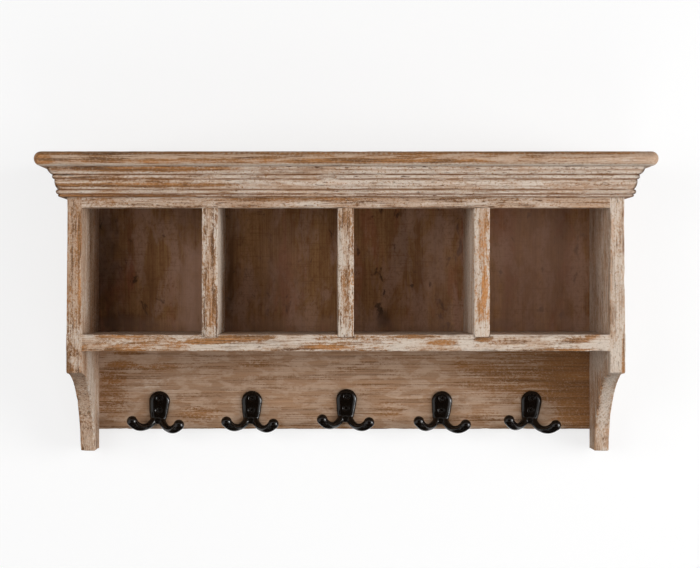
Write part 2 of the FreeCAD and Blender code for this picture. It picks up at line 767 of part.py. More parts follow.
def hook_rail():
    """The rail that carries the hooks, across the back under the shelf."""
    profile = eased_profile(0, sizes.back_thickness, rail_bottom, shelf_middle)
    body = cross_board("hook_rail", profile, back_half * 2)
    screws = []
    for side in HOOKS:
        across, up, tilt = hook_place(side)
        for drop in (sizes.hook_screw_upper, sizes.hook_screw_lower):
            screws.append((across - drop * sine(tilt), up - drop * cosine(tilt)))
    grip = sizes.hook_screw_length - sizes.plate_thickness + sizes.end_play
    hole = sizes.hook_screw_diameter + sizes.hole_play
    bore(body, "HookScrewHoles", "XZ_Plane", sizes.back_thickness, screws, hole, grip)
    back_holes(body, rail_nail_points)


def hanger_plate(label, hand):
    """A keyhole plate of pressed steel, flush with the rear of the back panel."""
    body = new_body(label)
    outline = new_sketch(body, "Outline", "XZ_Plane")
    radius, low, high = hanger_outline(0)
    trace(outline, oblong(as_size(0), radius, low, high))
    pad(body, outline, sizes.hanger_gauge)
    bore(body, "Entry", "XZ_Plane", None, [(0, 0)], sizes.entry_diameter)
    slot = new_sketch(body, "Slot", "XZ_Plane")
    half = sizes.slot_width / 2
    trace(slot, oblong(as_size(0), half, as_size(0), sizes.slot_rise))
    pocket(body, slot)
    screws = [(0, level) for level in hanger_screw_levels]
    countersunk_holes(body, "hanger_screw", "XZ_Plane", None, screws, along_normal=True)
    set_expressions(body, Placement__Base__x=sizes.hanger_spacing * hand / 2)


def hook_arm(body, hand):
    """One arm of a hook, hand -1 for the left and 1 for the right, in an upright plane of its own."""
    turn = sizes.arm_turn_angle * hand - 90
    spine = new_sketch(body, "ArmLine", "XZ_Plane")
    spine.AttachmentOffset = Placement(Vector(), Rotation(Vector(0, 1, 0), turn.value))
    set_expressions(
        spine,
        AttachmentOffset__Base__x=sizes.arm_root_side * hand,
        AttachmentOffset__Base__z=sizes.plate_thickness / 2,
        AttachmentOffset__Rotation__Angle=turn,
    )
    fall = sizes.arm_fall_radius
    rise = sizes.arm_rise_radius
    valley_run = fall * sine(sizes.arm_fall_angle)
    valley_drop = sizes.arm_root_drop + fall - fall * cosine(sizes.arm_fall_angle)
    ball_run = valley_run + rise * sine(sizes.arm_rise_angle)
    ball_drop = valley_drop - rise + rise * cosine(sizes.arm_rise_angle)
    trace(
        spine,
        [
            (0, -sizes.arm_root_drop, fall),
            (valley_run, -valley_drop, rise),
            (ball_run, -ball_drop),
        ],
        closed=False,
    )
    doc.recompute()
    stations = [
        ("Edge1", 0.0, sizes.arm_root_diameter),
        ("Edge1", 1.0, sizes.arm_valley_diameter),
        ("Edge2", 1.0, sizes.arm_neck_diameter),
    ]
    rings = []
    for edge, share, diameter in stations:
        ring = body.newObject("Sketcher::SketchObject", "ArmRing")
        ring.AttachmentSupport = (spine, [edge])
        ring.MapMode = "NormalToEdge"
        ring.MapPathParameter = share
        draw_circles(ring, [(0, 0)], diameter)
        rings.append(ring)
    arm = body.newObject("PartDesign::AdditivePipe", "Arm")
    arm.Profile = rings[0]
    arm.Spine = (spine, ["Edge1", "Edge2"])
    arm.Sections = rings[1:]
    arm.Transformation = "Multisection"
    doc.recompute()
    ball = body.newObject("PartDesign::AdditiveSphere", "Ball")
    ball.AttachmentSupport = (spine, ["Edge2"])
    ball.MapMode = "NormalToEdge"
    ball.MapPathParameter = 1.0
    set_expressions(ball, Radius=sizes.ball_diameter / 2)
    doc.recompute()


def double_hook(side):
    """A cast hook: a shield plate from which two arms fall, fan out and rise to a ball."""
    body = new_body(f"hook_{side}")
    half = sizes.plate_width / 2
    low_half = sizes.plate_foot_width / 2
    corner = sizes.plate_foot_radius
    bottom = -sizes.plate_height
    outline = new_sketch(body, "Plate", "XZ_Plane")
    trace(
        outline,
        [
            (-low_half, bottom + corner, corner),
            (corner - low_half, bottom),
            (low_half - corner, bottom, corner),
            (low_half, bottom + corner),
            (half, -half, half),
            (0, 0, half),
            (-half, -half),
        ],
    )
    pad(body, outline, sizes.plate_thickness)
    front = -sizes.plate_thickness.value
    round_edges(body, "PlateEdge", sizes.plate_edge, lambda edge: touches(edge, "y", front))
    screws = [(0, -drop) for drop in (sizes.hook_screw_upper, sizes.hook_screw_lower)]
    countersunk_holes(body, "hook_screw", "XZ_Plane", sizes.plate_thickness, screws)
    for hand in (-1, 1):
        hook_arm(body, hand)
    back = new_sketch(body, "FlatBack", "XZ_Plane")
    trace(back, rectangle(-half, bottom - sizes.arm_root_diameter, half, 0))
    pocket(body, back, sizes.arm_root_diameter)
    across, up, tilt = hook_place(side)
    body.Placement = Placement(Vector(), Rotation(Vector(0, 1, 0), tilt.value))
    set_expressions(body, Placement__Base__x=across, Placement__Base__y=-sizes.back_thickness)
    set_expressions(body, Placement__Base__z=up, Placement__Rotation__Angle=tilt)
    doc.recompute()
    return body


def fasteners(hooks):
    """Dowels, nails, pins and screws, each kind in a node for what it holds."""
    radius = sizes.dowel_diameter / 2
    bevelled = radius - sizes.dowel_bevel
    shaft_end = sizes.dowel_length - sizes.dowel_bevel
    dowel = turned_piece(
        "dowel_pattern",
        [
            (0, 0),
            (bevelled, 0),
            (radius, sizes.dowel_bevel),
            (radius, shaft_end),
            (bevelled, sizes.dowel_length),
            (0, sizes.dowel_length),
        ],
    )
    start = inner_half + sizes.dowel_short_end
    ends = [(-1, "right"), (1, "left")]
    for label, points in (("shelf_dowels", shelf_dowel_points), ("frieze_dowels", frieze_dowel_points)):
        places = [driven(start * hand, *point, way) for hand, way in ends for point in points]
        group(label, dowel, places)
    middle = inner_half + sizes.side_thickness / 2
    bottom = top_under - dowel_long_end
    upright = [(middle * hand, forward) for hand in (-1, 1) for forward in (front_fixing, rear_fixing)]
    group("top_dowels", dowel, [driven(x, forward, bottom, "up") for x, forward in upright])

    nail_radius = sizes.nail_diameter / 2
    nail = turned_piece(
        "nail_pattern",
        [
            (0, 0),
            (sizes.nail_head / 2, 0),
            (sizes.nail_head / 2, sizes.nail_head_height),
            (nail_radius, sizes.nail_head_height),
            (nail_radius, sizes.nail_length - sizes.nail_diameter),
            (0, sizes.nail_length),
        ],
    )
    for label, points in (("back_nails", back_nail_points), ("rail_nails", rail_nail_points)):
        group(label, nail, [driven(x, 0, z, "front") for x, z in points])

    pin_radius = sizes.pin_diameter / 2
    pin = turned_piece(
        "pin_pattern",
        [
            (0, 0),
            (pin_radius, 0),
            (pin_radius, sizes.pin_length - sizes.pin_diameter),
            (0, sizes.pin_length),
        ],
    )
    outside = half_width + pin_start
    pins = [driven(x, sizes.carcass_depth + pin_start, crown_seam, "back") for x in cubby_places]
    for hand, way in ends:
        pins += [driven(outside * hand, forward, crown_seam, way) for forward in return_pins]
    group("crown_pins", pin, pins)

    places = [
        driven(x, forward, shelf_bottom, "up")
        for x in divider_places
        for forward in (front_fixing, rear_fixing)
    ]
    group("divider_screws", screw("shelf_screw"), places)
    places = [
        driven(sizes.hanger_spacing * hand, 0, level, "front")
        for hand in (-0.5, 0.5)
        for level in hanger_screw_levels
    ]
    group("hanger_screws", screw("hanger_screw"), places)
    places = [
        hook.Placement.multiply(driven(0, sizes.plate_thickness, -drop, "back"))
        for hook in hooks
        for drop in (sizes.hook_screw_upper, sizes.hook_screw_lower)
    ]
    group("hook_screws", screw("hook_screw"), places)


top_board()
crown_front()
crown_return("crown_left", -1)
crown_return("crown_right", 1)
frieze_board()
side_board("side_left", -1)
side_board("side_right", 1)
for label, across in zip(("divider_left", "divider_centre", "divider_right"), divider_places):
    divider_board(label, across)
shelf_board()
back_panel()
hook_rail()
hanger_plate("hanger_plate_left", -1)
hanger_plate("hanger_plate_right", 1)
fasteners([double_hook(side) for side in HOOKS])
doc.recompute()

failed = [item.Label for item in doc.Objects if {"Invalid", "Error"} & set(item.State)]
if failed:
    raise RuntimeError(f"failed objects: {failed}")
for node in nodes:
    if node.Shape.isNull() or not node.Shape.isValid() or not node.Shape.Solids:
        raise RuntimeError(f"{node.Label} has no valid solid")
os.makedirs("parts", exist_ok=True)
for node in nodes:
    node.Shape.exportStep(f"parts/{node.Label}.step")
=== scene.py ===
"""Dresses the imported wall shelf: worn whitewashed boards, a reeded crown, cast hooks and a plain stage."""
import math
from typing import NamedTuple

import bmesh
import bpy
from bpy.props import FloatProperty, FloatVectorProperty, PointerProperty
from mathutils import Matrix, Vector, noise


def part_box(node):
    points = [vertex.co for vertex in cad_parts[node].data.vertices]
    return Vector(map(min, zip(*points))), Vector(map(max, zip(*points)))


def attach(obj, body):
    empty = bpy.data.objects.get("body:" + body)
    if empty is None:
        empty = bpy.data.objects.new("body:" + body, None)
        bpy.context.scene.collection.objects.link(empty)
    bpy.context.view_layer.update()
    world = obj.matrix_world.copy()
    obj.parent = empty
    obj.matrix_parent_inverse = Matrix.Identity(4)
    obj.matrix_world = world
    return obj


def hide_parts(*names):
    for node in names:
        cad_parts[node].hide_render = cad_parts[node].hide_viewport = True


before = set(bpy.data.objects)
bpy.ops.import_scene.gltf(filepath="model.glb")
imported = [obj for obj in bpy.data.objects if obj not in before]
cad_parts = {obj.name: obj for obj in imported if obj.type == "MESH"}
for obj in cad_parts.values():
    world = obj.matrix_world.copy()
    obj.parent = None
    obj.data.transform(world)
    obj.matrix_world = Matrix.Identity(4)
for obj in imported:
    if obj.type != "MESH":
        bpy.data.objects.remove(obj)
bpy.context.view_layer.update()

bl_info = {
    "name": "Whitewashed Wall Shelf",
    "version": (1, 0, 0),
    "blender": (4, 5, 0),
    "location": "View3D > Sidebar > Wall Shelf",
    "description": "Builds a worn whitewashed wall shelf with a reeded crown and cast coat hooks",
    "category": "Object",
}

MM = 0.001
FACE_AXES = {"x": (1, 2, 0), "y": (0, 2, 1), "z": (0, 1, 2)}
DIVIDERS = ("divider_left", "divider_centre", "divider_right")

# Rounding of the boards' plain corners and of the corners that are worn
CORNER = 0.8 * MM
WORN_CORNER = 1.5 * MM
# Room left at a joint, so that the faces of two boards don't lie in one plane
JOINT_ROOM = 0.2 * MM
# Share of the rounding that an edge keeps under another board, at the wall, and where two slabs meet
COVERED = 0.1
AT_WALL = 0.4
MEETING = 0.02
# The picture's width, and how far its middle lies to the right of and above the eye's axis, in pixels
PICTURE_WIDTH = 700
PICTURE_SHIFT = (25, 5)
# The crown's reeds from the top down, in millimetres: height, reach at the top, reach at the foot, bulge
REEDS = (
    (8.6, 19.5, 15.0, 1.3),
    (5.1, 13.4, 13.0, 1.4),
    (11.5, 12.0, 8.8, 1.5),
    (4.9, 9.8, 9.6, 1.3),
    (3.1, 8.0, 7.8, 1.0),
)
# Marks on the back panel, real stains and also painted shade and painted light: darker at the left of the
# first two cubbies, paler at the right of the first three, over the last and in a band along the foot.
# Millimetres across and up, reach across and up, and how dark, or pale below zero
STAINS_LIGHT_AND_SHADE = (
    (-292, -60, 26, 110, 0.5),
    (-268, -140, 40, 14, 0.45),
    (-190, -148, 60, 7, 0.15),
    (-140, -60, 14, 110, 0.3),
    (-60, -148, 70, 6, 0.1),
    (48, -138, 10, 12, 0.7),
    (90, -149, 60, 5, 0.15),
    (190, -143, 26, 7, 0.25),
    (262, -20, 12, 40, 0.3),
    (-180, -100, 30, 80, -0.6),
    (230, -70, 80, 110, -0.5),
    (72, -50, 18, 40, 0.2),
    (108, -48, 14, 40, 0.15),
    (-187, -14, 22, 10, -0.15),
    (0, -146, 2000, 14, -0.24),
    (112, -80, 26, 80, -0.2),
    (-75, -80, 30, 70, -0.25),
)
# How far a stain reaches into the panel in millimetres, which is right through it
STAIN_DEPTH = 1000
# Fine lines scored along the crown: millimetres below its top, and how dark each is. The line 4 mm down
# also paints the shade that the top board's nose casts there
SCORES = ((4.0, 0.7), (21.4, 0.4))
# How far the dark of a groove and of a scored line spreads, in millimetres: dirt, and painted shade in
# the creases
GROOVE_RUN = 2.0
SCORE_RUN = 0.7
# Each hook's plate top in millimetres, across and up, and its lean in degrees, clockwise from the front
HOOK_PLACES = {
    "far_left": (-222.0, -223.0, 4.5),
    "left": (-111.0, -222.6, 2.5),
    "centre": (3.4, -220.5, 3.5),
    "right": (118.6, -223.0, 4.0),
    "far_right": (227.0, -222.8, 6.0),
}
# The two screws of a hook, in millimetres below the plate's top
SCREW_DROPS = (8.7, 23.0)


class Look(NamedTuple):
    """How the finish of one board has worn.

    cover is how much of the wood the wash covers, opaque how little of the wood shows through it, chalk
    how much of the wash is thick, grit how dark its specks are, edge how bare the arrises are, rim how much
    whiter the arrises and the crown's crests are painted, a painted highlight where light catches them, warm
    how far the bare wood leans from brown to honey, figure how strongly its grain shows, drift the wash
    gained per metre to the right, and fibre the length and width of the fine grain in millimetres. shares
    weigh patches, streaks, fine grain and grit in the pattern of the wash. spots are places in millimetres,
    with their reach and the wash gained or lost there, and may be broken into ticks along an axis at a
    pitch. Some spots are painted light, paler where a face lies in shade or catches light, and some are
    painted shade, darker where shade falls.
    """

    grain: str
    seed: float
    cover: float = 0.5
    chalk: float = 0.5
    grit: float = 0.5
    edge: float = 0.5
    rim_highlight: float = 0.0
    warm: float = 0.0
    figure: float = 1.0
    drift: float = 0.0
    opaque: float = 0.95
    fibre: tuple = (38, 1.6)
    shares: tuple = (0.32, 0.24, 0.2, 0.24)
    spots: tuple = ()


LOOKS = {
    "top": Look(
        "x", 1.0, 0.525, 0.42, grit=0.5, edge=0.1, warm=-0.02, drift=0.03, shares=(0.24, 0.32, 0.26, 0.18),
        spots=(
            (-110, -178, 40.6, 320, 20, 2.5, -0.06),
            (70, -178, 44.0, 200, 20, 6.0, -0.05),
            # Painted light: paler along the nose's underside, which lies in shade
            (0, -172, 36.2, 4000, 9, 1.6, 0.14),
            (0, -178, 50.2, 4000, 8, 2.4, -0.05),
            (0, -178, 50.2, 4000, 8, 2.4, -0.05, "x", 5.6),
            (90, -176, 37.6, 330, 20, 1.4, 0.07, "x", 5.2),
            (-335, -170, 44.0, 14, 40, 14, -0.08),
        ),
    ),
    "side_left": Look(
        "z", 4.0, 0.49, 0.42, grit=0.9, edge=0.35, rim_highlight=0.04, warm=-0.055, shares=(0.2, 0.12, 0.18, 0.5),
        spots=(
            (-298.5, -145, -42, 2.6, 12, 26, -0.14),
            (-298.5, -145, -110, 2.0, 12, 30, -0.09),
            # Painted light: paler at the front of the inner face, where light falls
            (-296, -120, -80, 1.6, 32, 90, 0.06),
            (-298, -145, -156, 9, 12, 12, 0.10),
            (-300, -45, -278, 9, 14, 16, 0.08),
            # Painted light: paler over the bracket's inner face, where light falls
            (-296, -70, -230, 3, 60, 60, 0.14),
            (-296, -118, -225, 2, 9, 60, -0.08),
            (-296, -40, -225, 2, 16, 70, -0.06),
            (-304, -145, -183, 9, 12, 8, 0.10),
            (-309, -145, -188, 5, 14, 6, -0.12),
            (-304, -110, -225, 20, 30, 9, -0.12, "z", 2.6),
            (-305, -100, -240, 7, 70, 60, 0.04),
        ),
    ),
    "side_right": Look(
        "z", 7.0, 0.56, 0.58, grit=0.7, edge=0.5, warm=-0.03, shares=(0.2, 0.12, 0.18, 0.5),
        spots=(
            (304, -145, -172, 9, 12, 20, 0.05),
            (296, -70, -80, 3, 55, 80, -0.01),
            (296, -70, -235, 3, 80, 45, -0.075),
            (305, -100, -240, 7, 70, 60, 0.05),
            (310.5, -145, -175, 1.8, 12, 26, -0.16),
            (304, -145, -30, 9, 12, 30, -0.03),
        ),
    ),
    "divider_left": Look(
        "z", 11.0, 0.475, 0.38, grit=0.9, edge=0.1, rim_highlight=0.16, warm=-0.05, shares=(0.3, 0.14, 0.2, 0.36),
        # The second spot is painted light: paler at the front of the right face, where light falls
        spots=((-152.5, -145, -152, 12, 14, 10, 0.07), (-143.5, -110, -80, 2, 50, 90, 0.08)),
    ),
    "divider_centre": Look(
        "z", 13.3, 0.485, 0.44, grit=0.9, edge=0.1, rim_highlight=0.16, warm=-0.04, shares=(0.3, 0.14, 0.2, 0.36),
        spots=(
            (-2, -145, -150, 9, 14, 9, 0.06),
            (-3, -145, -50, 8, 14, 24, 0.06),
            (0, -145, -87, 8, 14, 12, -0.05),
        ),
    ),
    "divider_right": Look(
        "z", 15.6, 0.495, 0.56, grit=0.8, edge=0.1, rim_highlight=0.16, warm=0.06, shares=(0.3, 0.14, 0.2, 0.36),
        spots=(
            # Painted light: paler over the left face, which lies in shade
            (143.5, -80, -80, 3, 55, 100, 0.04),
            (152.5, -145, -150, 12, 14, 12, 0.10),
            (156, -145, -97, 4, 14, 22, -0.10),
            (147, -145, -14, 8, 14, 8, 0.06),
        ),
    ),
    "shelf": Look(
        "x", 21.0, 0.508, 0.46, grit=0.6, edge=0.1, rim_highlight=0.08, warm=-0.035, drift=0.11,
        shares=(0.26, 0.2, 0.2, 0.34),
        spots=(
            # Painted light: paler over the cubbies' floors, which lie in shade
            (0, -60, -150.5, 4000, 55, 2.0, 0.08),
            (-249, -145, -153.3, 34, 12, 1.6, -0.05),
            (-252, -145, -168.6, 34, 12, 1.6, -0.04),
            (-157, -145, -159.0, 27, 12, 3.6, -0.10),
            (-113, -145, -155.6, 36, 12, 4.0, -0.10),
            (-125, -145, -165.0, 46, 12, 4.0, 0.08),
            (-68, -145, -160.0, 20, 12, 7.0, 0.06),
            (-20, -145, -165.4, 30, 12, 3.0, -0.10),
            (-25, -145, -156.0, 26, 12, 4.0, 0.04),
            (84, -145, -153.5, 26, 12, 3.0, -0.08),
            (280, -145, -153, 12, 12, 4, -0.09),
            (-24, -145, -155, 16, 12, 4, -0.06),
            (-94, -145, -160, 18, 12, 5, 0.06),
            (-280, -145, -167, 12, 12, 4, 0.06),
            (108, -145, -160.0, 20, 12, 3.6, -0.10),
            (198, -145, -164.0, 20, 12, 4.0, 0.07),
            (-290, -145, -156.0, 12, 12, 8.0, 0.06),
            (135, -145, -160.0, 8, 12, 9.0, 0.08),
            (152, -145, -156.5, 10, 12, 3.0, -0.09),
            (192, -145, -156.0, 18, 12, 3.0, -0.03),
            (257, -145, -157.5, 18, 12, 4.0, -0.07),
            (250, -145, -168.2, 36, 12, 1.6, -0.10),
            (288, -145, -160.0, 9, 12, 9.0, 0.11),
        ),
    ),
    "frieze": Look(
        "x", 27.0, 0.515, 0.54, grit=1.0, edge=0.2, warm=-0.05, drift=-0.06, shares=(0.26, 0.2, 0.22, 0.32),
        spots=(
            (-60, -145, 0.6, 140, 12, 2.0, -0.05),
            (60, -145, -4.6, 250, 12, 2.2, 0.04),
            (-274, -145, -2.5, 18, 12, 6.0, -0.06),
        ),
    ),
    "rail": Look(
        "x", 39.0, 0.55, 0.2, grit=0.12, edge=0.5, warm=-0.035, figure=0.4, opaque=0.76, fibre=(95, 1.5),
        shares=(0.14, 0.1, 0.46, 0.3),
        spots=(
            (-262, -17, -177, 22, 12, 3.6, -0.16),
            (-265, -17, -191, 22, 12, 6.0, -0.12),
            (-224, -17, -195, 32, 12, 6.5, -0.11),
            (-278, -17, -209, 16, 12, 5.5, -0.12),
            (-280, -17, -225, 26, 12, 44, -0.09),
            (-108, -17, -191, 27, 12, 5.0, -0.08),
            (-60, -17, -267, 150, 12, 2.4, -0.10),
            (140, -17, -192, 14, 12, 5.0, -0.07),
            # This spot and the ones at 300 and 225 across are painted shadow: darker over the rail's right
            # end, which the right bracket shades
            (272, -17, -186, 14, 12, 12, -0.08),
            (300, -17, -215, 62, 12, 60, -0.14),
            (288, -17, -216, 0.9, 12, 44, -0.25),
            (225, -17, -200, 100, 12, 44, -0.10),
            (-20, -17, -205, 200, 12, 40, -0.02, "x", 3.0),
            (-172, -17, -252, 34, 12, 12, -0.10),
            (55, -17, -248, 30, 12, 14, -0.08),
            (171, -17, -256, 28, 12, 12, -0.06),
            # Painted light: paler just under the shelf, where the rail lies in shade
            (-213, -17, -180, 30, 12, 8, 0.05),
            (274, -17, -258, 32, 12, 14, -0.07),
        ),
    ),
    "crown_front": Look(
        "x", 51.0, 0.53, 0.54, grit=1.0, edge=0.3, rim_highlight=0.03, warm=-0.04, drift=0.06,
        shares=(0.24, 0.2, 0.2, 0.36),
        spots=(
            (-222, -160, 33.0, 105, 30, 3.0, -0.11),
            (-232, -160, 15.8, 120, 30, 2.4, -0.10),
            (-262, -150, 4.2, 100, 30, 1.3, -0.10),
            (60, -160, 23.0, 260, 30, 12.0, 0.04),
            (118, -150, 5.0, 60, 30, 5.0, 0.08),
            (295, -152, 6.0, 45, 30, 7.0, 0.08),
            (-203, -155, 9.0, 50, 30, 4.0, 0.06),
            (-232, -158, 22.0, 50, 30, 3.0, -0.05),
            (-298, -158, 30.0, 20, 30, 6.0, 0.06),
        ),
    ),
    "crown_left": Look("y", 52.0, 0.515, 0.5, grit=0.9, edge=0.4, shares=(0.24, 0.22, 0.2, 0.34)),
    "crown_right": Look("y", 53.0, 0.515, 0.5, grit=0.9, edge=0.4, shares=(0.24, 0.22, 0.2, 0.34)),
    "dowels": Look("z", 61.0, 0.1, 0.0, grit=0.0, edge=0.0),
}


def tint(code):
    """A colour written as an sRGB hex value, in linear light."""
    parts = [int(code[place : place + 2], 16) / 255 for place in (1, 3, 5)]
    return tuple(part / 12.92 if part <= 0.04045 else ((part + 0.055) / 1.055) ** 2.4 for part in parts)


def length(title, note, millimetres):
    """A setting for a length."""
    return FloatProperty(name=title, description=note, default=millimetres * MM, unit="LENGTH", precision=5)


def swing(title, note, degrees):
    """A setting for an angle."""
    return FloatProperty(name=title, description=note, default=math.radians(degrees), subtype="ANGLE")


def colour(title, note, code):
    """A setting for a colour."""
    shade = tint(code)
    return FloatVectorProperty(name=title, description=note, default=shade, subtype="COLOR", min=0.0, max=1.0)


def power(title, note, watts):
    """A setting for the power of a lamp."""
    return FloatProperty(name=title, description=note, default=watts, unit="POWER")


class BoardSettings(bpy.types.PropertyGroup):
    """Sizes of the boards' worn edges."""

    arris: length("Arris", "Rounding of the boards' edges", 1.4)
    nose: length("Nose", "Rounding of the top board's front and ends", 7.8)
    step: length("Step", "Spacing of the points along an edge", 4.0)
    dent: length("Dent", "Depth of the deepest knock in an edge", 0.7)
    dent_run: length("Dent run", "Usual length of a knock along an edge", 14.0)
    wear_width: length("Wear width", "How far from an edge the finish is rubbed", 3.2)
    shoulder: length("Shoulder", "From the shelf's underside to where a side curves back", 25.0)
    shoulder_round: length("Shoulder rounding", "Lower corner of a side's front", 4.0)
    margin: length("Margin", "From an edge's rounding to the first points on a board's face", 0.8)
    splay: length("Splay", "How far a side's outer face stands out under the shelf", 1.4)
    fullness: length("Fullness", "How far a bracket's curve stays in front of a quarter circle", 3.0)


class CrownSettings(bpy.types.PropertyGroup):
    """Sizes of the crown moulding."""

    step: length("Step", "Spacing of the points along the moulding", 4.0)
    rub: length("Rub", "Depth to which the reeds are rubbed down in places", 0.35)
    rub_run: length("Rub run", "Usual length of a rubbed place", 22.0)


class HookSettings(bpy.types.PropertyGroup):
    """Sizes of the cast hooks."""

    plate_width: length("Plate width", "Across the plate's round top", 25.2)
    waist_width: length("Waist width", "Across the plate under its screws", 22.4)
    waist_drop: length("Waist drop", "From the plate's top to its waist", 26.0)
    foot_width: length("Foot width", "Across the plate's foot", 17.0)
    plate_height: length("Plate height", "Height of the plate", 39.5)
    plate_thickness: length("Plate thickness", "Thickness of the plate", 4.0)
    root_drop: length("Root drop", "Root of an arm below the plate's top", 36.0)
    root_side: length("Root side", "Root of an arm beside the middle", 5.0)
    fall: length("Fall", "Radius of the arc down to the valley", 23.2)
    rise: length("Rise", "Radius of the arc up to the ball", 24.6)
    spread: swing("Spread", "How far an arm heads to the side", 40.6)
    fall_turn: swing("Fall turn", "How far the arc down to the valley turns", 49.0)
    rise_turn: swing("Rise turn", "How far the arc up to the ball turns", 46.0)
    ball: length("Ball", "Diameter of the ball", 13.0)
    grain: length("Grain", "Size of the casting's mesh", 0.6)


class FinishSettings(bpy.types.PropertyGroup):
    """Colours of the finishes."""

    umber: colour("Umber", "Dark pores and dirt in the wood", "#573A24")
    brown: colour("Brown", "Stained wood under the wash", "#91643A")
    honey: colour("Honey", "Wood rubbed bare", "#BE824C")
    # The grooves' colour stands for bare wood and dirt, and also paints shade in the creases
    groove: colour("Groove", "Bare wood in the crown's grooves", "#7A4E2A")
    wash: colour("Wash", "Thin whitewash", "#BCA28C")
    chalk: colour("Chalk", "Whitewash where it lies thick", "#D0C3B5")
    # This colour also paints shade on the back panel, where the stains table darkens it
    grime_and_shade: colour("Grime", "Old dark stains", "#332216")
    back_dark: colour("Back dark", "Dark grain of the back panel", "#795231")
    back_light: colour("Back light", "Pale grain of the back panel", "#B18559")
    back_red: colour("Back red", "Reddish bands of the back panel", "#A46349")
    # This colour also paints light on the back panel, where the stains table pales it
    back_film_and_light: colour("Back film", "Thin grey wash on the back panel", "#B79481")


class StageSettings(bpy.types.PropertyGroup):
    """The camera, the lamps and the light from all around."""

    eye: FloatVectorProperty(
        name="Eye",
        description="Where the camera stands",
        default=(-0.02335, -1.855, -0.100),
        subtype="TRANSLATION",
        unit="LENGTH",
    )
    lens: FloatProperty(name="Lens", description="Focal length in mm on a 36 mm sensor", default=78.5)
    key: power("Key", "Power of the lamp on the right", 38.0)
    window: power("Window", "Power of the strip far to the right", 30.0)
    front: power("Front", "Power of the lamp in front", 2.4)
    fill: power("Fill", "Power of the lamp on the left", 8.3)
    side: power("Side", "Power of the lamp far to the left", 17.0)
    bounce: power("Bounce", "Power of the lamp near the floor", 3.6)
    rear: power("Rear", "Power of the lamp behind and above", 45.0)
    sky: FloatProperty(name="Sky", description="Level of the light from all around", default=0.188)


class ShelfSettings(bpy.types.PropertyGroup):
    """All settings of the shelf."""

    boards: PointerProperty(type=BoardSettings, name="Boards", description="Sizes of the boards")
    crown: PointerProperty(type=CrownSettings, name="Crown", description="Sizes of the crown")
    hooks: PointerProperty(type=HookSettings, name="Hooks", description="Sizes of the hooks")
    finish: PointerProperty(type=FinishSettings, name="Finish", description="Colours")
    stage: PointerProperty(type=StageSettings, name="Stage", description="Camera and lamps")


def node(tree, kind, inputs=None, **settings):
    """Adds a node. inputs gives each socket, by name or number, a value or the output that feeds it."""
    made = tree.nodes.new(kind)
    for name, value in settings.items():
        setattr(made, name, value)
    for key, value in (inputs or {}).items():
        socket = made.inputs[key]
        if isinstance(value, bpy.types.NodeSocket):
            tree.links.new(value, socket)
        else:
            socket.default_value = value
    return made


def new_material(name):
    """An empty node material, with its tree and its output node."""
    made = bpy.data.materials.new(name)
    made.use_nodes = True
    made.node_tree.nodes.clear()
    return made, made.node_tree, node(made.node_tree, "ShaderNodeOutputMaterial")


def finish_shader(tree, output, **sockets):
    """Ends a material in the standard shader; a double underline in a socket's name is a space."""
    inputs = {name.replace("__", " "): value for name, value in sockets.items()}
    shader = node(tree, "ShaderNodeBsdfPrincipled", inputs)
    tree.links.new(shader.outputs[0], output.inputs["Surface"])


def grain_scale(grain, along, across):
    """Scale of a pattern that is so many millimetres long along the grain and across it."""
    return tuple(1 / (MM * (along if axis == grain else across)) for axis in "xyz")


def noise_fields(tree, place, grain, seed, sizes):
    """Noise patterns by name, each drawn out along the grain to its own size in millimetres."""
    fields = {}
    for number, (name, (along, across, *rough)) in enumerate(sizes.items()):
        shift = (seed * 3.7 + number * 5.1, seed * 1.9 - number, seed * 2.3 + number * 2.7)
        mapped = node(
            tree,
            "ShaderNodeMapping",
            {"Vector": place, "Location": shift, "Scale": grain_scale(grain, along, across)},
        )
        pattern = node(
            tree,
            "ShaderNodeTexNoise",
            {
                "Vector": mapped.outputs[0],
                "Scale": 1.0,
                "Detail": 4.0,
                "Roughness": rough[0] if rough else 0.6,
                "Distortion": 0.0 if rough else 0.4,
            },
        )
        fields[name] = pattern.outputs["Fac"]
    return fields


def distance_to(tree, place, centre, reach):
    """Distance from a place in millimetres, counted in its reach along each axis."""
    inside = node(
        tree,
        "ShaderNodeMapping",
        {"Vector": place, "Location": [part * MM for part in centre], "Scale": [part * MM for part in reach]},
        vector_type="TEXTURE",
    )
    return node(tree, "ShaderNodeVectorMath", {0: inside.outputs[0]}, operation="LENGTH").outputs["Value"]


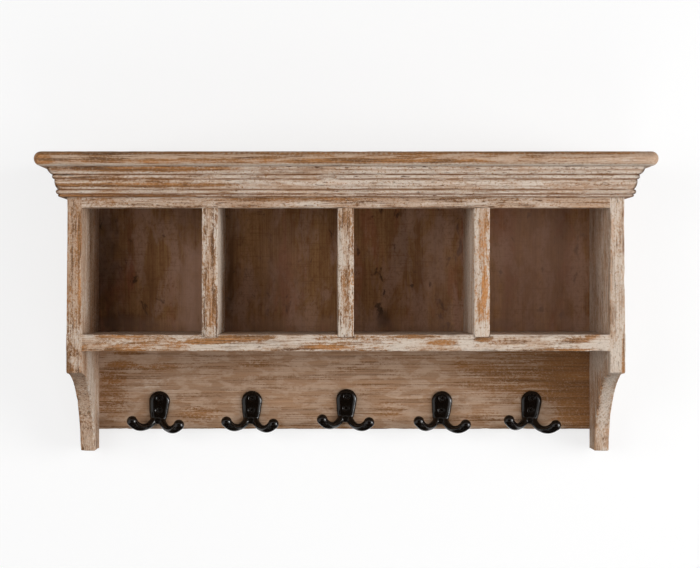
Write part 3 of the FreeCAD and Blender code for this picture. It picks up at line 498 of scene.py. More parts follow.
def washed_wood(name, look):
    """Whitewashed mango wood: brown wood under a brushed, sanded-back lime wash.

    The wash fills the grain in long streaks, sanding opens it to honey wood, edges are rubbed bare and
    thick places are speckled, so the eye sees pale and brown streaks along the grain, all matt.
    """
    palette = bpy.context.scene.wall_shelf.finish
    made, tree, output = new_material(name)
    place = node(tree, "ShaderNodeTexCoord").outputs["Object"]
    sizes = {
        "fine": look.fibre,
        "streak": (140, 6),
        "patch": (52, 15),
        "cloud": (70, 40),
        "grit": (4.0, 2.4, 0.85),
        "pepper": (3.0, 2.0, 0.85),
        "rub": (24, 9),
        "pore": (11, 1.5),
    }
    field = noise_fields(tree, place, look.grain, look.seed, sizes)
    rubbed = node(tree, "ShaderNodeAttribute", attribute_name="wear").outputs["Fac"]
    groove = node(tree, "ShaderNodeAttribute", attribute_name="groove").outputs["Fac"]
    across = node(tree, "ShaderNodeSeparateXYZ", {0: place}).outputs["X"]

    umber_at, brown_at, honey_at = 0.36, 0.47, 0.58
    grown = node(tree, "ShaderNodeMix", {0: 0.5, 2: field["streak"], 3: field["fine"]}, data_type="FLOAT")
    middle = brown_at * (1 - look.figure) + look.warm
    leaning = node(
        tree, "ShaderNodeMath", {0: grown.outputs[0], 1: look.figure, 2: middle}, operation="MULTIPLY_ADD"
    )
    wood = node(tree, "ShaderNodeValToRGB", {"Fac": leaning.outputs[0]})
    ramp = wood.color_ramp.elements
    ramp[0].position, ramp[0].color = umber_at, (*palette.umber, 1)
    ramp[1].position, ramp[1].color = honey_at, (*palette.honey, 1)
    ramp.new(brown_at).color = (*palette.brown, 1)

    # How much wash lies at each point: the board's own amount, four patterns and the marked spots
    amount = node(
        tree, "ShaderNodeMath", {0: across, 1: look.drift, 2: look.cover - 0.5}, operation="MULTIPLY_ADD"
    ).outputs[0]
    gains = [(field[key], share) for key, share in zip(("patch", "streak", "fine", "grit"), look.shares)]
    for x, y, z, reach_x, reach_y, reach_z, gain, *ticks in look.spots:
        away = distance_to(tree, place, (x, y, z), (reach_x, reach_y, reach_z))
        near = node(
            tree,
            "ShaderNodeMapRange",
            {"Value": away, "From Min": 1.3, "From Max": 0.5},
            interpolation_type="SMOOTHSTEP",
        ).outputs[0]
        if ticks:
            axis, pitch = ticks
            bands = math.tau / (20 * pitch * MM)
            wave = node(
                tree,
                "ShaderNodeTexWave",
                {"Vector": place, "Scale": bands, "Distortion": 1.5, "Detail Scale": 0.3},
                bands_direction=axis.upper(),
            ).outputs["Fac"]
            near = node(tree, "ShaderNodeMath", {0: near, 1: wave}, operation="MULTIPLY").outputs[0]
        gains.append((near, gain))
    for source, gain in gains:
        sums = {0: source, 1: gain, 2: amount}
        amount = node(tree, "ShaderNodeMath", sums, operation="MULTIPLY_ADD").outputs[0]
    # The wash is thicker in clouds, and on the arrises and crests by rim: a painted highlight there
    body = amount
    for source, gain in ((field["cloud"], 0.4), (rubbed, look.rim_highlight)):
        sums = {0: source, 1: gain, 2: body}
        body = node(tree, "ShaderNodeMath", sums, operation="MULTIPLY_ADD").outputs[0]

    # Each mask has its pattern, where it starts, where it is full and how strong it gets
    lowest = 0.86 - 0.3 * look.chalk
    masks = {}
    ranges = {
        "coat": (amount, 0.455, 0.505, look.opaque),
        "thick": (body, lowest, lowest + 0.12, 1.0),
        "speck": (field["pepper"], 0.55, 0.63, look.grit),
        "pore": (field["pore"], 0.60, 0.67, look.grit),
        "worn": (field["fine"], 0.50, 0.36, 0.45),
        "dab": (field["pepper"], 0.50, 0.40, 0.40),
        "open": (field["rub"], 0.42, 0.56, look.edge),
        "dirt": (field["rub"], 0.70, 0.48, 0.95),
    }
    for key, (pattern, start, end, most) in ranges.items():
        masks[key] = node(
            tree,
            "ShaderNodeMapRange",
            {"Value": pattern, "From Min": start, "From Max": end, "To Max": most},
            interpolation_type="SMOOTHSTEP",
        ).outputs[0]
    # dirt darkens the crown's grooves and scored lines: dirt there, and painted shade in the creases
    for key, where in (("open", rubbed), ("dirt", groove)):
        masks[key] = node(tree, "ShaderNodeMath", {0: where, 1: masks[key]}, operation="MULTIPLY").outputs[0]
    paint = node(
        tree,
        "ShaderNodeMix",
        {0: masks["thick"], 6: (*palette.wash, 1), 7: (*palette.chalk, 1)},
        data_type="RGBA",
    ).outputs[2]
    skin = wood.outputs[0]
    layers = [
        ("coat", paint),
        ("worn", wood.outputs[0]),
        ("dab", paint),
        ("speck", (*palette.brown, 1)),
        ("pore", (*palette.umber, 1)),
        ("open", wood.outputs[0]),
        ("dirt", (*palette.groove, 1)),
    ]
    for key, over in layers:
        skin = node(tree, "ShaderNodeMix", {0: masks[key], 6: skin, 7: over}, data_type="RGBA").outputs[2]

    raised = node(tree, "ShaderNodeMix", {0: 0.5, 2: field["fine"], 3: masks["coat"]}, data_type="FLOAT")
    relief = node(
        tree, "ShaderNodeMath", {0: masks["pore"], 1: -0.6, 2: raised.outputs[0]}, operation="MULTIPLY_ADD"
    )
    bump = node(tree, "ShaderNodeBump", {"Strength": 0.6, "Distance": 0.4 * MM, "Height": relief.outputs[0]})
    rough = node(tree, "ShaderNodeMapRange", {"Value": masks["coat"], "To Min": 0.6, "To Max": 0.85})
    finish_shader(
        tree,
        output,
        Base__Color=skin,
        Roughness=rough.outputs[0],
        Specular__IOR__Level=0.3,
        Normal=bump.outputs[0],
    )
    return made


def stained_wood(name, grain, seed, stains, front):
    """Mango boards under a thin brown stain: dark, with upright grain, reddish bands and faint scratches.

    stains are places in millimetres across and up, with their reach and how dark they are, or pale below
    zero, on a face that lies at front. Besides real stains, some of the dark ones are painted shade and some
    of the pale ones painted light.
    """
    palette = bpy.context.scene.wall_shelf.finish
    made, tree, output = new_material(name)
    place = node(tree, "ShaderNodeTexCoord").outputs["Object"]
    sizes = {
        "fine": (50, 1.8),
        "band": (200, 14),
        "red": (120, 26),
        "blot": (22, 14),
        "film": (60, 24),
        "mottle": (5, 3),
        "speck": (3.4, 2.2, 0.85),
    }
    field = noise_fields(tree, place, grain, seed, sizes)
    field.update(noise_fields(tree, place, "x", seed + 2.0, {"scratch": (34, 1.3)}))
    grown = node(tree, "ShaderNodeMix", {0: 0.45, 2: field["band"], 3: field["fine"]}, data_type="FLOAT")
    wood = node(tree, "ShaderNodeValToRGB", {"Fac": grown.outputs[0]})
    ramp = wood.color_ramp.elements
    ramp[0].position, ramp[0].color = 0.36, (*palette.back_dark, 1)
    ramp[1].position, ramp[1].color = 0.64, (*palette.back_light, 1)
    masks = {}
    ranges = {
        "red": (0.53, 0.65, 0.45),
        "film": (0.44, 0.62, 0.6),
        "scratch": (0.55, 0.66, 0.4),
        "mottle": (0.5, 0.66, 0.45),
        "speck": (0.54, 0.64, 0.22),
        "blot": (0.60, 0.70, 0.75),
    }
    for key, (start, end, most) in ranges.items():
        masks[key] = node(
            tree,
            "ShaderNodeMapRange",
            {"Value": field[key], "From Min": start, "From Max": end, "To Max": most},
            interpolation_type="SMOOTHSTEP",
        ).outputs[0]
    look = wood.outputs[0]
    layers = [
        (masks["red"], palette.back_red),
        (masks["film"], palette.back_film_and_light),
        (masks["scratch"], palette.back_dark),
        (masks["mottle"], palette.back_dark),
        (masks["speck"], palette.grime_and_shade),
        (masks["blot"], palette.grime_and_shade),
    ]
    # Dark places take grime, pale ones the back's film: real stains, and painted shade and painted light
    for across, up, reach_across, reach_up, dark in stains:
        away = distance_to(tree, place, (across, front, up), (reach_across, STAIN_DEPTH, reach_up))
        ragged = {0: field["blot"], 1: -1.6, 2: away}
        away = node(tree, "ShaderNodeMath", ragged, operation="MULTIPLY_ADD").outputs[0]
        near = node(
            tree,
            "ShaderNodeMapRange",
            {"Value": away, "From Min": 0.5, "From Max": -0.5, "To Max": abs(dark)},
            interpolation_type="SMOOTHSTEP",
        ).outputs[0]
        layers.append((near, palette.grime_and_shade if dark > 0 else palette.back_film_and_light))
    for mask, over in layers:
        look = node(tree, "ShaderNodeMix", {0: mask, 6: look, 7: (*over, 1)}, data_type="RGBA").outputs[2]
    bump = node(tree, "ShaderNodeBump", {"Strength": 0.4, "Distance": 0.3 * MM, "Height": grown.outputs[0]})
    finish_shader(
        tree, output, Base__Color=look, Roughness=0.62, Specular__IOR__Level=0.3, Normal=bump.outputs[0]
    )
    return made


def painted_iron(name, code, roughness):
    """Black stove paint on cast or turned iron: near black, with soft glints over a slightly uneven skin."""
    made, tree, output = new_material(name)
    place = node(tree, "ShaderNodeTexCoord").outputs["Object"]
    skin_grain = 1.6 * MM
    lighter = [1.5 * part for part in tint(code)]
    skin = node(
        tree,
        "ShaderNodeTexNoise",
        {"Vector": place, "Scale": 1 / skin_grain, "Detail": 3.0, "Roughness": 0.5},
    )
    bump = node(
        tree,
        "ShaderNodeBump",
        {"Strength": 0.25, "Distance": 0.12 * MM, "Height": skin.outputs["Fac"]},
    )
    tone = node(
        tree,
        "ShaderNodeMix",
        {0: skin.outputs["Fac"], 6: (*tint(code), 1), 7: (*lighter, 1)},
        data_type="RGBA",
    )
    gloss = node(
        tree,
        "ShaderNodeMapRange",
        {"Value": skin.outputs["Fac"], "To Min": roughness - 0.06, "To Max": roughness + 0.08},
    )
    finish_shader(
        tree,
        output,
        Base__Color=tone.outputs[2],
        Roughness=gloss.outputs[0],
        Specular__IOR__Level=0.5,
        Normal=bump.outputs[0],
    )
    return made


def bright_metal(name, code, roughness):
    """Plated or drawn steel: grey, with faint brushed streaks."""
    made, tree, output = new_material(name)
    place = node(tree, "ShaderNodeTexCoord").outputs["Object"]
    streak_length, streak_width = 12, 0.6
    darker = [0.7 * part for part in tint(code)]
    streaks = grain_scale("z", streak_length, streak_width)
    mapped = node(tree, "ShaderNodeMapping", {"Vector": place, "Scale": streaks})
    streak = node(tree, "ShaderNodeTexNoise", {"Vector": mapped.outputs[0], "Scale": 1.0, "Detail": 3.0})
    tone = node(
        tree,
        "ShaderNodeMix",
        {0: streak.outputs["Fac"], 6: (*darker, 1), 7: (*tint(code), 1)},
        data_type="RGBA",
    )
    gloss = node(
        tree,
        "ShaderNodeMapRange",
        {"Value": streak.outputs["Fac"], "To Min": roughness - 0.1, "To Max": roughness + 0.1},
    )
    finish_shader(tree, output, Base__Color=tone.outputs[2], Metallic=1.0, Roughness=gloss.outputs[0])
    return made


def dress(object_, material):
    """Gives an object one material."""
    object_.data.materials.clear()
    object_.data.materials.append(material)


def place_piece(piece, material, slot, *nodes):
    """Gives a piece its material and its body, and hides the CAD nodes that it stands for."""
    dress(piece, material)
    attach(piece, "root")
    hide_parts(*nodes)


def new_piece(name, mesh):
    """An object for a mesh, linked to the scene."""
    piece = bpy.data.objects.new(name, mesh)
    bpy.context.scene.collection.objects.link(piece)
    return piece


def outline_at(corners, inset, step):
    """A counterclockwise outline through (u, v, radius) corners, drawn in by an inset.

    Sides are cut into steps, and every inset gives the same number of points.
    """
    spots = [Vector(corner[:2]) for corner in corners]
    count = len(corners)
    turns = []
    for index, (here, corner) in enumerate(zip(spots, corners)):
        before = (here - spots[index - 1]).normalized()
        after = (spots[(index + 1) % count] - here).normalized()
        inward = Vector((-before.y - after.y, before.x + after.x))
        here = here + inward * (2 * inset / inward.length_squared)
        if not corner[2]:
            turns.append([here])
            continue
        bend = math.atan2(before.x * after.y - before.y * after.x, before.dot(after))
        radius = max(corner[2] - inset, 0.02 * MM) if bend > 0 else -corner[2] - inset
        start = here - before * (radius * math.tan(bend / 2))
        centre = start + Vector((-before.y, before.x)) * radius
        turns.append([centre + Matrix.Rotation(bend * part / 6, 2) @ (start - centre) for part in range(7)])
    outline = []
    for index, turn in enumerate(turns):
        after = (index + 1) % count
        parts = max(1, math.ceil((spots[after] - spots[index]).length / step))
        outline += turn[:-1]
        outline += [turn[-1].lerp(turns[after][0], part / parts) for part in range(parts)]
    return outline


def skin_rows(shape, rows):
    """Joins rings of points into one skin, caps both ends and returns the faces."""
    faces = [shape.faces.new(reversed(rows[0])), shape.faces.new(rows[-1])]
    count = len(rows[0])
    for first, second in zip(rows, rows[1:]):
        for index in range(count):
            after = (index + 1) % count
            faces.append(shape.faces.new((first[index], first[after], second[after], second[index])))
    return faces


def mesh_of(name, shape):
    """Turns a finished shape into a mesh with smooth shading."""
    mesh = bpy.data.meshes.new(name)
    shape.to_mesh(mesh)
    shape.free()
    mesh.shade_smooth()
    return mesh


def slab(shape, axis, corners, low, high, ease, soft=None, seed=0.0):
    """Adds a board: an outline across an axis from low to high, with rounded, knocked and rubbed edges.

    soft gives the share of the rounding at a point of the outline.
    """
    boards = bpy.context.scene.wall_shelf.boards
    outline = outline_at(corners, 0.0, boards.step)
    shares = [soft(point) if soft else 1.0 for point in outline]
    quarter = [math.radians(90 * part / 5) for part in range(6)]
    face = [(ease + boards.margin, 0.0, boards.margin)]
    face += [(ease * (1 - math.sin(turn)), ease * (1 - math.cos(turn)), 0.0) for turn in quarter]
    inner = high - low - 2 * ease
    parts = max(1, round(inner / boards.step))
    rings = [("low", *ring) for ring in face]
    for part in range(1, parts):
        rings.append(("middle", 0.0, part / parts, inner * min(part, parts - part) / parts))
    rings += [("high", *ring) for ring in reversed(face)]
    u_axis, v_axis, t_axis = FACE_AXES[axis]

    wear = shape.verts.layers.float.get("wear") or shape.verts.layers.float.new("wear")
    rows = []
    for side, inset, depth, distance in rings:
        row = []
        for point, drawn_in, share in zip(outline, outline_at(corners, inset, boards.step), shares):
            flat = drawn_in if distance else point.lerp(drawn_in, share)
            if side == "low":
                across = low + depth * share
            elif side == "high":
                across = high - depth * share
            else:
                across = low + ease * share + depth * (high - low - 2 * ease * share)
            spot = [0.0, 0.0, 0.0]
            spot[u_axis], spot[v_axis], spot[t_axis] = flat.x, flat.y, across
            vertex = shape.verts.new(spot)
            vertex[wear] = min(1.0, share) * math.exp(-((distance / boards.wear_width) ** 2))
            row.append(vertex)
        rows.append(row)
    bmesh.ops.recalc_face_normals(shape, faces=skin_rows(shape, rows))
    shape.normal_update()

    # A knock is a broad noise with a finer one on it, and what stays below a level is spared
    finer, finer_share, spared, steepness = 3.1, 0.35, 0.12, 1.6
    for vertex in (vertex for row in rows for vertex in row):
        spot = vertex.co / boards.dent_run + Vector((seed, -seed, 2 * seed))
        knock = max(0.0, noise.noise(spot) + finer_share * noise.noise(spot * finer) - spared)
        vertex.co -= vertex.normal * (boards.dent * vertex[wear] * min(1.0, knock * steepness))


def oblong(low, high):
    """Corners of a plain board that is seen from the front."""
    places = ((low.x, low.z), (high.x, low.z), (high.x, high.z), (low.x, high.z))
    return [(across, up, CORNER) for across, up in places]


def finish_board(name, shape, look, cad_node, slot="washed_wood"):
    """Makes a whitewashed piece of a finished shape, in place of a CAD node."""
    material = washed_wood(f"whitewashed_mango_{look}", LOOKS[look])
    place_piece(new_piece(name, mesh_of(name, shape)), material, slot, cad_node)


def solid_copy(piece):
    """Turns a piece with modifiers into a plain mesh."""
    graph = bpy.context.evaluated_depsgraph_get()
    mesh = bpy.data.meshes.new_from_object(piece.evaluated_get(graph))
    piece.modifiers.clear()
    old = piece.data
    piece.data = mesh
    bpy.data.meshes.remove(old)


class WALLSHELF_OT_top_board(bpy.types.Operator):
    """The top board, round along its front and both ends"""

    bl_idname = "wallshelf.top_board"
    bl_label = "Top board"

    def execute(self, context):
        boards = context.scene.wall_shelf.boards
        low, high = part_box("top_board")
        turn = boards.nose + WORN_CORNER
        square = 0.5 * MM
        rear_share = 0.06
        corners = [
            (low.x, low.y, turn),
            (high.x, low.y, turn),
            (high.x, high.y, square),
            (low.x, high.y, square),
        ]

        def rounding(spot):
            return 1.0 if spot.y < -turn else rear_share

        shape = bmesh.new()
        slab(shape, "z", corners, low.z, high.z, boards.nose, rounding, 1.3)
        finish_board("top_nosed_board", shape, "top", "top_board")
        return {"FINISHED"}


def bracket_outline(boards, low, high, shelf_low, rabbet):
    """A side board's outline from its rabbet forwards: upright, a shoulder, a hollow curve and a foot."""
    shoulder = shelf_low.z - boards.shoulder
    start = low.y + boards.shoulder_round
    reach = shoulder - low.z
    parts = 24
    curve = []
    for part in range(1, parts):
        turn = math.radians(90 * part / parts)
        radius = reach - boards.fullness * math.sin(2 * turn)
        curve.append((start + radius * math.sin(turn), low.z + radius * math.cos(turn), 0))
    return [
        (low.y, high.z, CORNER),
        (low.y, shoulder, boards.shoulder_round * 0.9),
        (start, shoulder, 0),
        *curve,
        (start + reach, low.z, WORN_CORNER),
        (rabbet, low.z, 0),
        (rabbet, high.z, 0),
    ]


class WALLSHELF_OT_side_boards(bpy.types.Operator):
    """The two side boards, which curve back below the shelf into brackets"""

    bl_idname = "wallshelf.side_boards"
    bl_label = "Side boards"

    def execute(self, context):
        boards = context.scene.wall_shelf.boards
        shelf_low, shelf_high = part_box("shelf_board")
        panel_low, panel_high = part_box("back_panel")
        rabbet = panel_low.y
        joint = rabbet - 0.1 * MM
        frieze_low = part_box("frieze_board")[0]

        def front_share(spot):
            if spot.x > joint:
                return MEETING
            return COVERED if spot.y > frieze_low.z or shelf_low.z < spot.y < shelf_high.z else 1

        def rear_share(spot):
            return AT_WALL if spot.x > joint + 1 * MM else MEETING

        for number, side in enumerate(("left", "right")):
            low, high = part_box(f"side_{side}")
            if side == "left":
                hand, inner_face, rear_span = -1, high.x, (low.x, panel_low.x)
            else:
                hand, inner_face, rear_span = 1, low.x, (panel_high.x, high.x)
            shape = bmesh.new()
            front = bracket_outline(boards, low, high, shelf_low, rabbet)
            slab(shape, "x", front, low.x, high.x, boards.arris, front_share, 2.1 + number)
            rear = [
                (rabbet, low.z, 0),
                (high.y, low.z, CORNER),
                (high.y, high.z, CORNER),
                (rabbet, high.z, 0),
            ]
            slab(shape, "x", rear, *rear_span, boards.arris, rear_share)
            for vertex in shape.verts:
                outward = hand * (vertex.co.x - inner_face) / (high.x - low.x)
                sunk = min(1.0, max(0.0, (frieze_low.z - vertex.co.z) / (frieze_low.z - shelf_low.z)))
                vertex.co.x += hand * boards.splay * sunk * outward
            finish_board(f"side_board_{side}", shape, f"side_{side}", f"side_{side}")
        return {"FINISHED"}


class WALLSHELF_OT_dividers(bpy.types.Operator):
    """The three uprights between the cubbies"""

    bl_idname = "wallshelf.dividers"
    bl_label = "Dividers"

    def execute(self, context):
        boards = context.scene.wall_shelf.boards
        frieze_low, frieze_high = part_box("frieze_board")
        for number, name in enumerate(DIVIDERS):
            low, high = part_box(name)
            corners = [
                (low.y, low.z, WORN_CORNER),
                (high.y, low.z, CORNER),
                (high.y, high.z, CORNER),
                (frieze_high.y, high.z, CORNER),
                (frieze_high.y, frieze_low.z, 0),
                (low.y, frieze_low.z, CORNER),
            ]
            shape = bmesh.new()
            slab(shape, "x", corners, low.x, high.x, boards.arris, seed=5.2 + number)
            finish_board(f"{name}_board", shape, name, name)
        return {"FINISHED"}


class WALLSHELF_OT_cross_boards(bpy.types.Operator):
    """The shelf, grooved for the dividers, and the frieze behind the crown"""

    bl_idname = "wallshelf.cross_boards"
    bl_label = "Shelf and frieze"

    def execute(self, context):
        boards = context.scene.wall_shelf.boards
        low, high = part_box("shelf_board")
        under = low.z + JOINT_ROOM
        ends = high.x - WORN_CORNER

        def rounding(spot):
            return 1 if abs(spot.x) < ends else COVERED

        corners = [(low.x, under, CORNER), (high.x, under, CORNER), (high.x, high.z, CORNER)]
        for name in reversed(DIVIDERS):
            left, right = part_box(name)
            for across, up in ((right.x, high.z), (right.x, left.z), (left.x, left.z), (left.x, high.z)):
                corners.append((across, up, 0))
        corners.append((low.x, high.z, CORNER))
        shape = bmesh.new()
        slab(shape, "y", corners, low.y, high.y, boards.arris, rounding, 8.4)
        finish_board("cubby_shelf", shape, "shelf", "shelf_board")
        low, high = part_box("frieze_board")
        shape = bmesh.new()
        slab(shape, "y", oblong(low, high), low.y, high.y, boards.arris, rounding, 9.6)
        finish_board("frieze_strip", shape, "frieze", "frieze_board")
        return {"FINISHED"}


class WALLSHELF_OT_back_boards(bpy.types.Operator):
    """The back panel and the hook rail"""

    bl_idname = "wallshelf.back_boards"
    bl_label = "Back panel and hook rail"

    def execute(self, context):
        boards = context.scene.wall_shelf.boards
        panel_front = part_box("back_panel")[0].y / MM
        stained = stained_wood("stained_mango_back", "z", 33.0, STAINS_LIGHT_AND_SHADE, panel_front)
        dress(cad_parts["back_panel"], stained)
        low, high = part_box("hook_rail")
        shape = bmesh.new()
        slab(shape, "y", oblong(low, high), low.y, high.y - JOINT_ROOM, boards.arris, seed=12.8)
        finish_board("coat_rail", shape, "rail", "hook_rail", "worn_rail")
        return {"FINISHED"}


def crown_profile():
    """The moulding's closed section, from the back of its top edge round its face, with each point's wear.

    Points are (reach, level below the top, wear, groove) in millimetres.
    """
    points = [(0.0, 0.0, 0.0, 0.0)]
    level = 0.0
    for height, top, foot, bulge in REEDS:
        chord = math.hypot(height, top - foot)
        radius = chord**2 / (8 * bulge) + bulge / 2
        half = math.asin(chord / 2 / radius)
        lean = math.atan2(top - foot, height)
        steps = 16
        for part in range(steps + 1):
            turn = half * (2 * part / steps - 1)
            along = chord / 2 + radius * math.sin(turn)
            rise = radius * (math.cos(turn) - math.cos(half))
            reach = top - along * math.sin(lean) + rise * math.cos(lean)
            drop = level + along * math.cos(lean) + rise * math.sin(lean)
            crest = math.exp(-((turn / half) ** 2) * 4)
            # groove and scored mark the darker creases and lines of the section: dirt, and painted shade
            # there
            away = (1 - abs(turn) / half) * chord / GROOVE_RUN
            groove = math.exp(-(away**2)) if level or turn > 0 else 0.0
            scored = max(dark * math.exp(-(((drop - line) / SCORE_RUN) ** 2)) for line, dark in SCORES)
            points.append((reach, drop, crest, max(groove, scored)))
        level += height
    points.append((0.0, level, 0.0, 0.0))
    return points


def crown_tree(profile, material):
    """Geometry nodes that run the section along a straight path with mitred ends."""
    tree = bpy.data.node_groups.new("crown_run", "GeometryNodeTree")
    tree.interface.new_socket("Geometry", in_out="OUTPUT", socket_type="NodeSocketGeometry")
    measures = ("Start", "End", "Start mitre", "End mitre", "Turn", "Rub", "Rub run")
    kinds = dict.fromkeys(measures, "NodeSocketFloat")
    kinds.update({"Origin": "NodeSocketVector", "Stations": "NodeSocketInt"})
    sockets = {}
    for name, kind in kinds.items():
        sockets[name] = tree.interface.new_socket(name, in_out="INPUT", socket_type=kind).identifier
    given = node(tree, "NodeGroupInput").outputs

    # A grid with a row for each station and a column for each point of the section
    count = len(profile.data.vertices)
    grid = node(
        tree,
        "GeometryNodeMeshGrid",
        {"Size X": 1.0, "Size Y": 1.0, "Vertices X": given["Stations"], "Vertices Y": count},
    )
    index = node(tree, "GeometryNodeInputIndex").outputs[0]
    column = node(tree, "ShaderNodeMath", {0: index, 1: float(count)}, operation="MODULO").outputs[0]
    row = node(tree, "ShaderNodeMath", {0: index, 1: float(count)}, operation="DIVIDE").outputs[0]
    row = node(tree, "ShaderNodeMath", {0: row}, operation="FLOOR").outputs[0]
    last = node(tree, "ShaderNodeMath", {0: given["Stations"], 1: 1.0}, operation="SUBTRACT").outputs[0]
    share = node(tree, "ShaderNodeMath", {0: row, 1: last}, operation="DIVIDE").outputs[0]

    # What the section says at that point
    source = node(tree, "GeometryNodeObjectInfo", {"Object": profile}).outputs["Geometry"]
    read = {"place": (node(tree, "GeometryNodeInputPosition").outputs[0], "FLOAT_VECTOR")}
    for name in ("wear", "groove"):
        named = node(tree, "GeometryNodeInputNamedAttribute", {"Name": name}, data_type="FLOAT")
        read[name] = (named.outputs[0], "FLOAT")
    marks = {}
    for name, (value, kind) in read.items():
        marks[name] = node(
            tree,
            "GeometryNodeSampleIndex",
            {"Geometry": source, "Value": value, "Index": column},
            data_type=kind,
        ).outputs["Value"]
    parts = node(tree, "ShaderNodeSeparateXYZ", {0: marks["place"]}).outputs
    reach, level = parts["X"], parts["Z"]

    # The point's place along the run, and how far its crest is rubbed down there
    ends = []
    for name in ("Start", "End"):
        mitred = {0: reach, 1: given[f"{name} mitre"], 2: given[name]}
        ends.append(node(tree, "ShaderNodeMath", mitred, operation="MULTIPLY_ADD").outputs[0])
    along = node(tree, "ShaderNodeMix", {0: share, 2: ends[0], 3: ends[1]}, data_type="FLOAT").outputs[0]
    pitch = node(tree, "ShaderNodeMath", {0: 1.0, 1: given["Rub run"]}, operation="DIVIDE").outputs[0]
    where = node(tree, "ShaderNodeCombineXYZ", {"X": along, "Y": level, "Z": given["Turn"]}).outputs[0]
    worn = node(tree, "ShaderNodeTexNoise", {"Vector": where, "Scale": pitch, "Detail": 3.0}).outputs["Fac"]
    depth = node(
        tree, "ShaderNodeMapRange", {"Value": worn, "From Min": 0.42, "From Max": 0.7, "To Max": 1.0}
    ).outputs[0]
    for factor in (marks["wear"], given["Rub"]):
        depth = node(tree, "ShaderNodeMath", {0: depth, 1: factor}, operation="MULTIPLY").outputs[0]
    stand = node(tree, "ShaderNodeMath", {0: depth, 1: reach}, operation="SUBTRACT").outputs[0]
    target = node(tree, "ShaderNodeCombineXYZ", {"X": along, "Y": stand, "Z": level}).outputs[0]
    moved = {"Geometry": grid.outputs["Mesh"], "Position": target}
    run = node(tree, "GeometryNodeSetPosition", moved).outputs[0]
    for name in ("wear", "groove"):
        run = node(
            tree,
            "GeometryNodeStoreNamedAttribute",
            {"Geometry": run, "Name": name, "Value": marks[name]},
            data_type="FLOAT",
            domain="POINT",
        ).outputs[0]
    spin = node(tree, "ShaderNodeCombineXYZ", {"Z": given["Turn"]}).outputs[0]
    placing = {"Geometry": run, "Translation": given["Origin"], "Rotation": spin}
    run = node(tree, "GeometryNodeTransform", placing).outputs[0]
    run = node(tree, "GeometryNodeMergeByDistance", {"Geometry": run, "Distance": 0.01 * MM}).outputs[0]
    run = node(tree, "GeometryNodeRealizeInstances", {"Geometry": run}).outputs[0]
    run = node(tree, "GeometryNodeSetMaterial", {"Geometry": run, "Material": material}).outputs[0]
    node(tree, "NodeGroupOutput", {"Geometry": run})
    return tree, sockets


class WALLSHELF_OT_crown(bpy.types.Operator):
    """The reeded crown along the front and its returns along the sides"""

    bl_idname = "wallshelf.crown"
    bl_label = "Crown"

    def execute(self, context):
        crown = context.scene.wall_shelf.crown
        section = crown_profile()
        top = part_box("crown_front")[1].z
        side_low, side_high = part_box("side_right")
        mesh = bpy.data.meshes.new("crown_section")
        reaches, drops, wear, groove = zip(*section)
        mesh.from_pydata([(reach * MM, 0, top - drop * MM) for reach, drop in zip(reaches, drops)], [], [])
        for name, values in (("wear", wear), ("groove", groove)):
            mesh.attributes.new(name, "FLOAT", "POINT").data.foreach_set("value", values)
        profile = new_piece("crown_section", mesh)
        runs = {
            "front": (-side_high.x, side_high.x, -1.0, 1.0, 0.0, (0, side_low.y, 0)),
            "left": (0.0, -side_low.y, 0.0, 1.0, -math.pi / 2, (-side_high.x, 0, 0)),
            "right": (side_low.y, 0.0, -1.0, 0.0, math.pi / 2, (side_high.x, 0, 0)),
        }
        for name, (start, end, first, last, turn, origin) in runs.items():
            material = washed_wood(f"whitewashed_mango_crown_{name}", LOOKS[f"crown_{name}"])
            tree, sockets = crown_tree(profile, material)
            piece = new_piece(f"crown_reeds_{name}", bpy.data.meshes.new(f"crown_reeds_{name}"))
            run = piece.modifiers.new("Run", "NODES")
            run.node_group = tree
            values = {
                "Start": start,
                "End": end,
                "Start mitre": first,
                "End mitre": last,
                "Turn": turn,
                "Origin": origin,
                "Rub": crown.rub,
                "Rub run": crown.rub_run,
                "Stations": max(2, round((end - start) / crown.step)),
            }
            for key, value in values.items():
                run[sockets[key]] = value
            solid_copy(piece)
            close_ends(piece.data)
            place_piece(piece, material, "washed_wood", f"crown_{name}")
        bpy.data.objects.remove(profile)
        return {"FINISHED"}


def close_ends(mesh):
    """Closes the open ends and the back of a moulding, and turns its faces outwards.

    One face spans both ends and the back. It isn't flat, so some of its triangles stand before the reeds.
    """
    shape = bmesh.new()
    shape.from_mesh(mesh)
    bmesh.ops.holes_fill(shape, edges=[edge for edge in shape.edges if edge.is_boundary], sides=0)
    bmesh.ops.recalc_face_normals(shape, faces=shape.faces)
    shape.to_mesh(mesh)
    shape.free()
    mesh.shade_smooth()


def arm_radius(share):
    """Radius of an arm along its length, from the plate to the ball: slim in the valley, full at the ball."""
    root, valley, neck = 4.6, 4.1, 6.3
    valley_at = 0.4
    if share < valley_at:
        return (root - (root - valley) * share / valley_at) * MM
    return (valley + (neck - valley) * (share - valley_at) / (1 - valley_at)) * MM


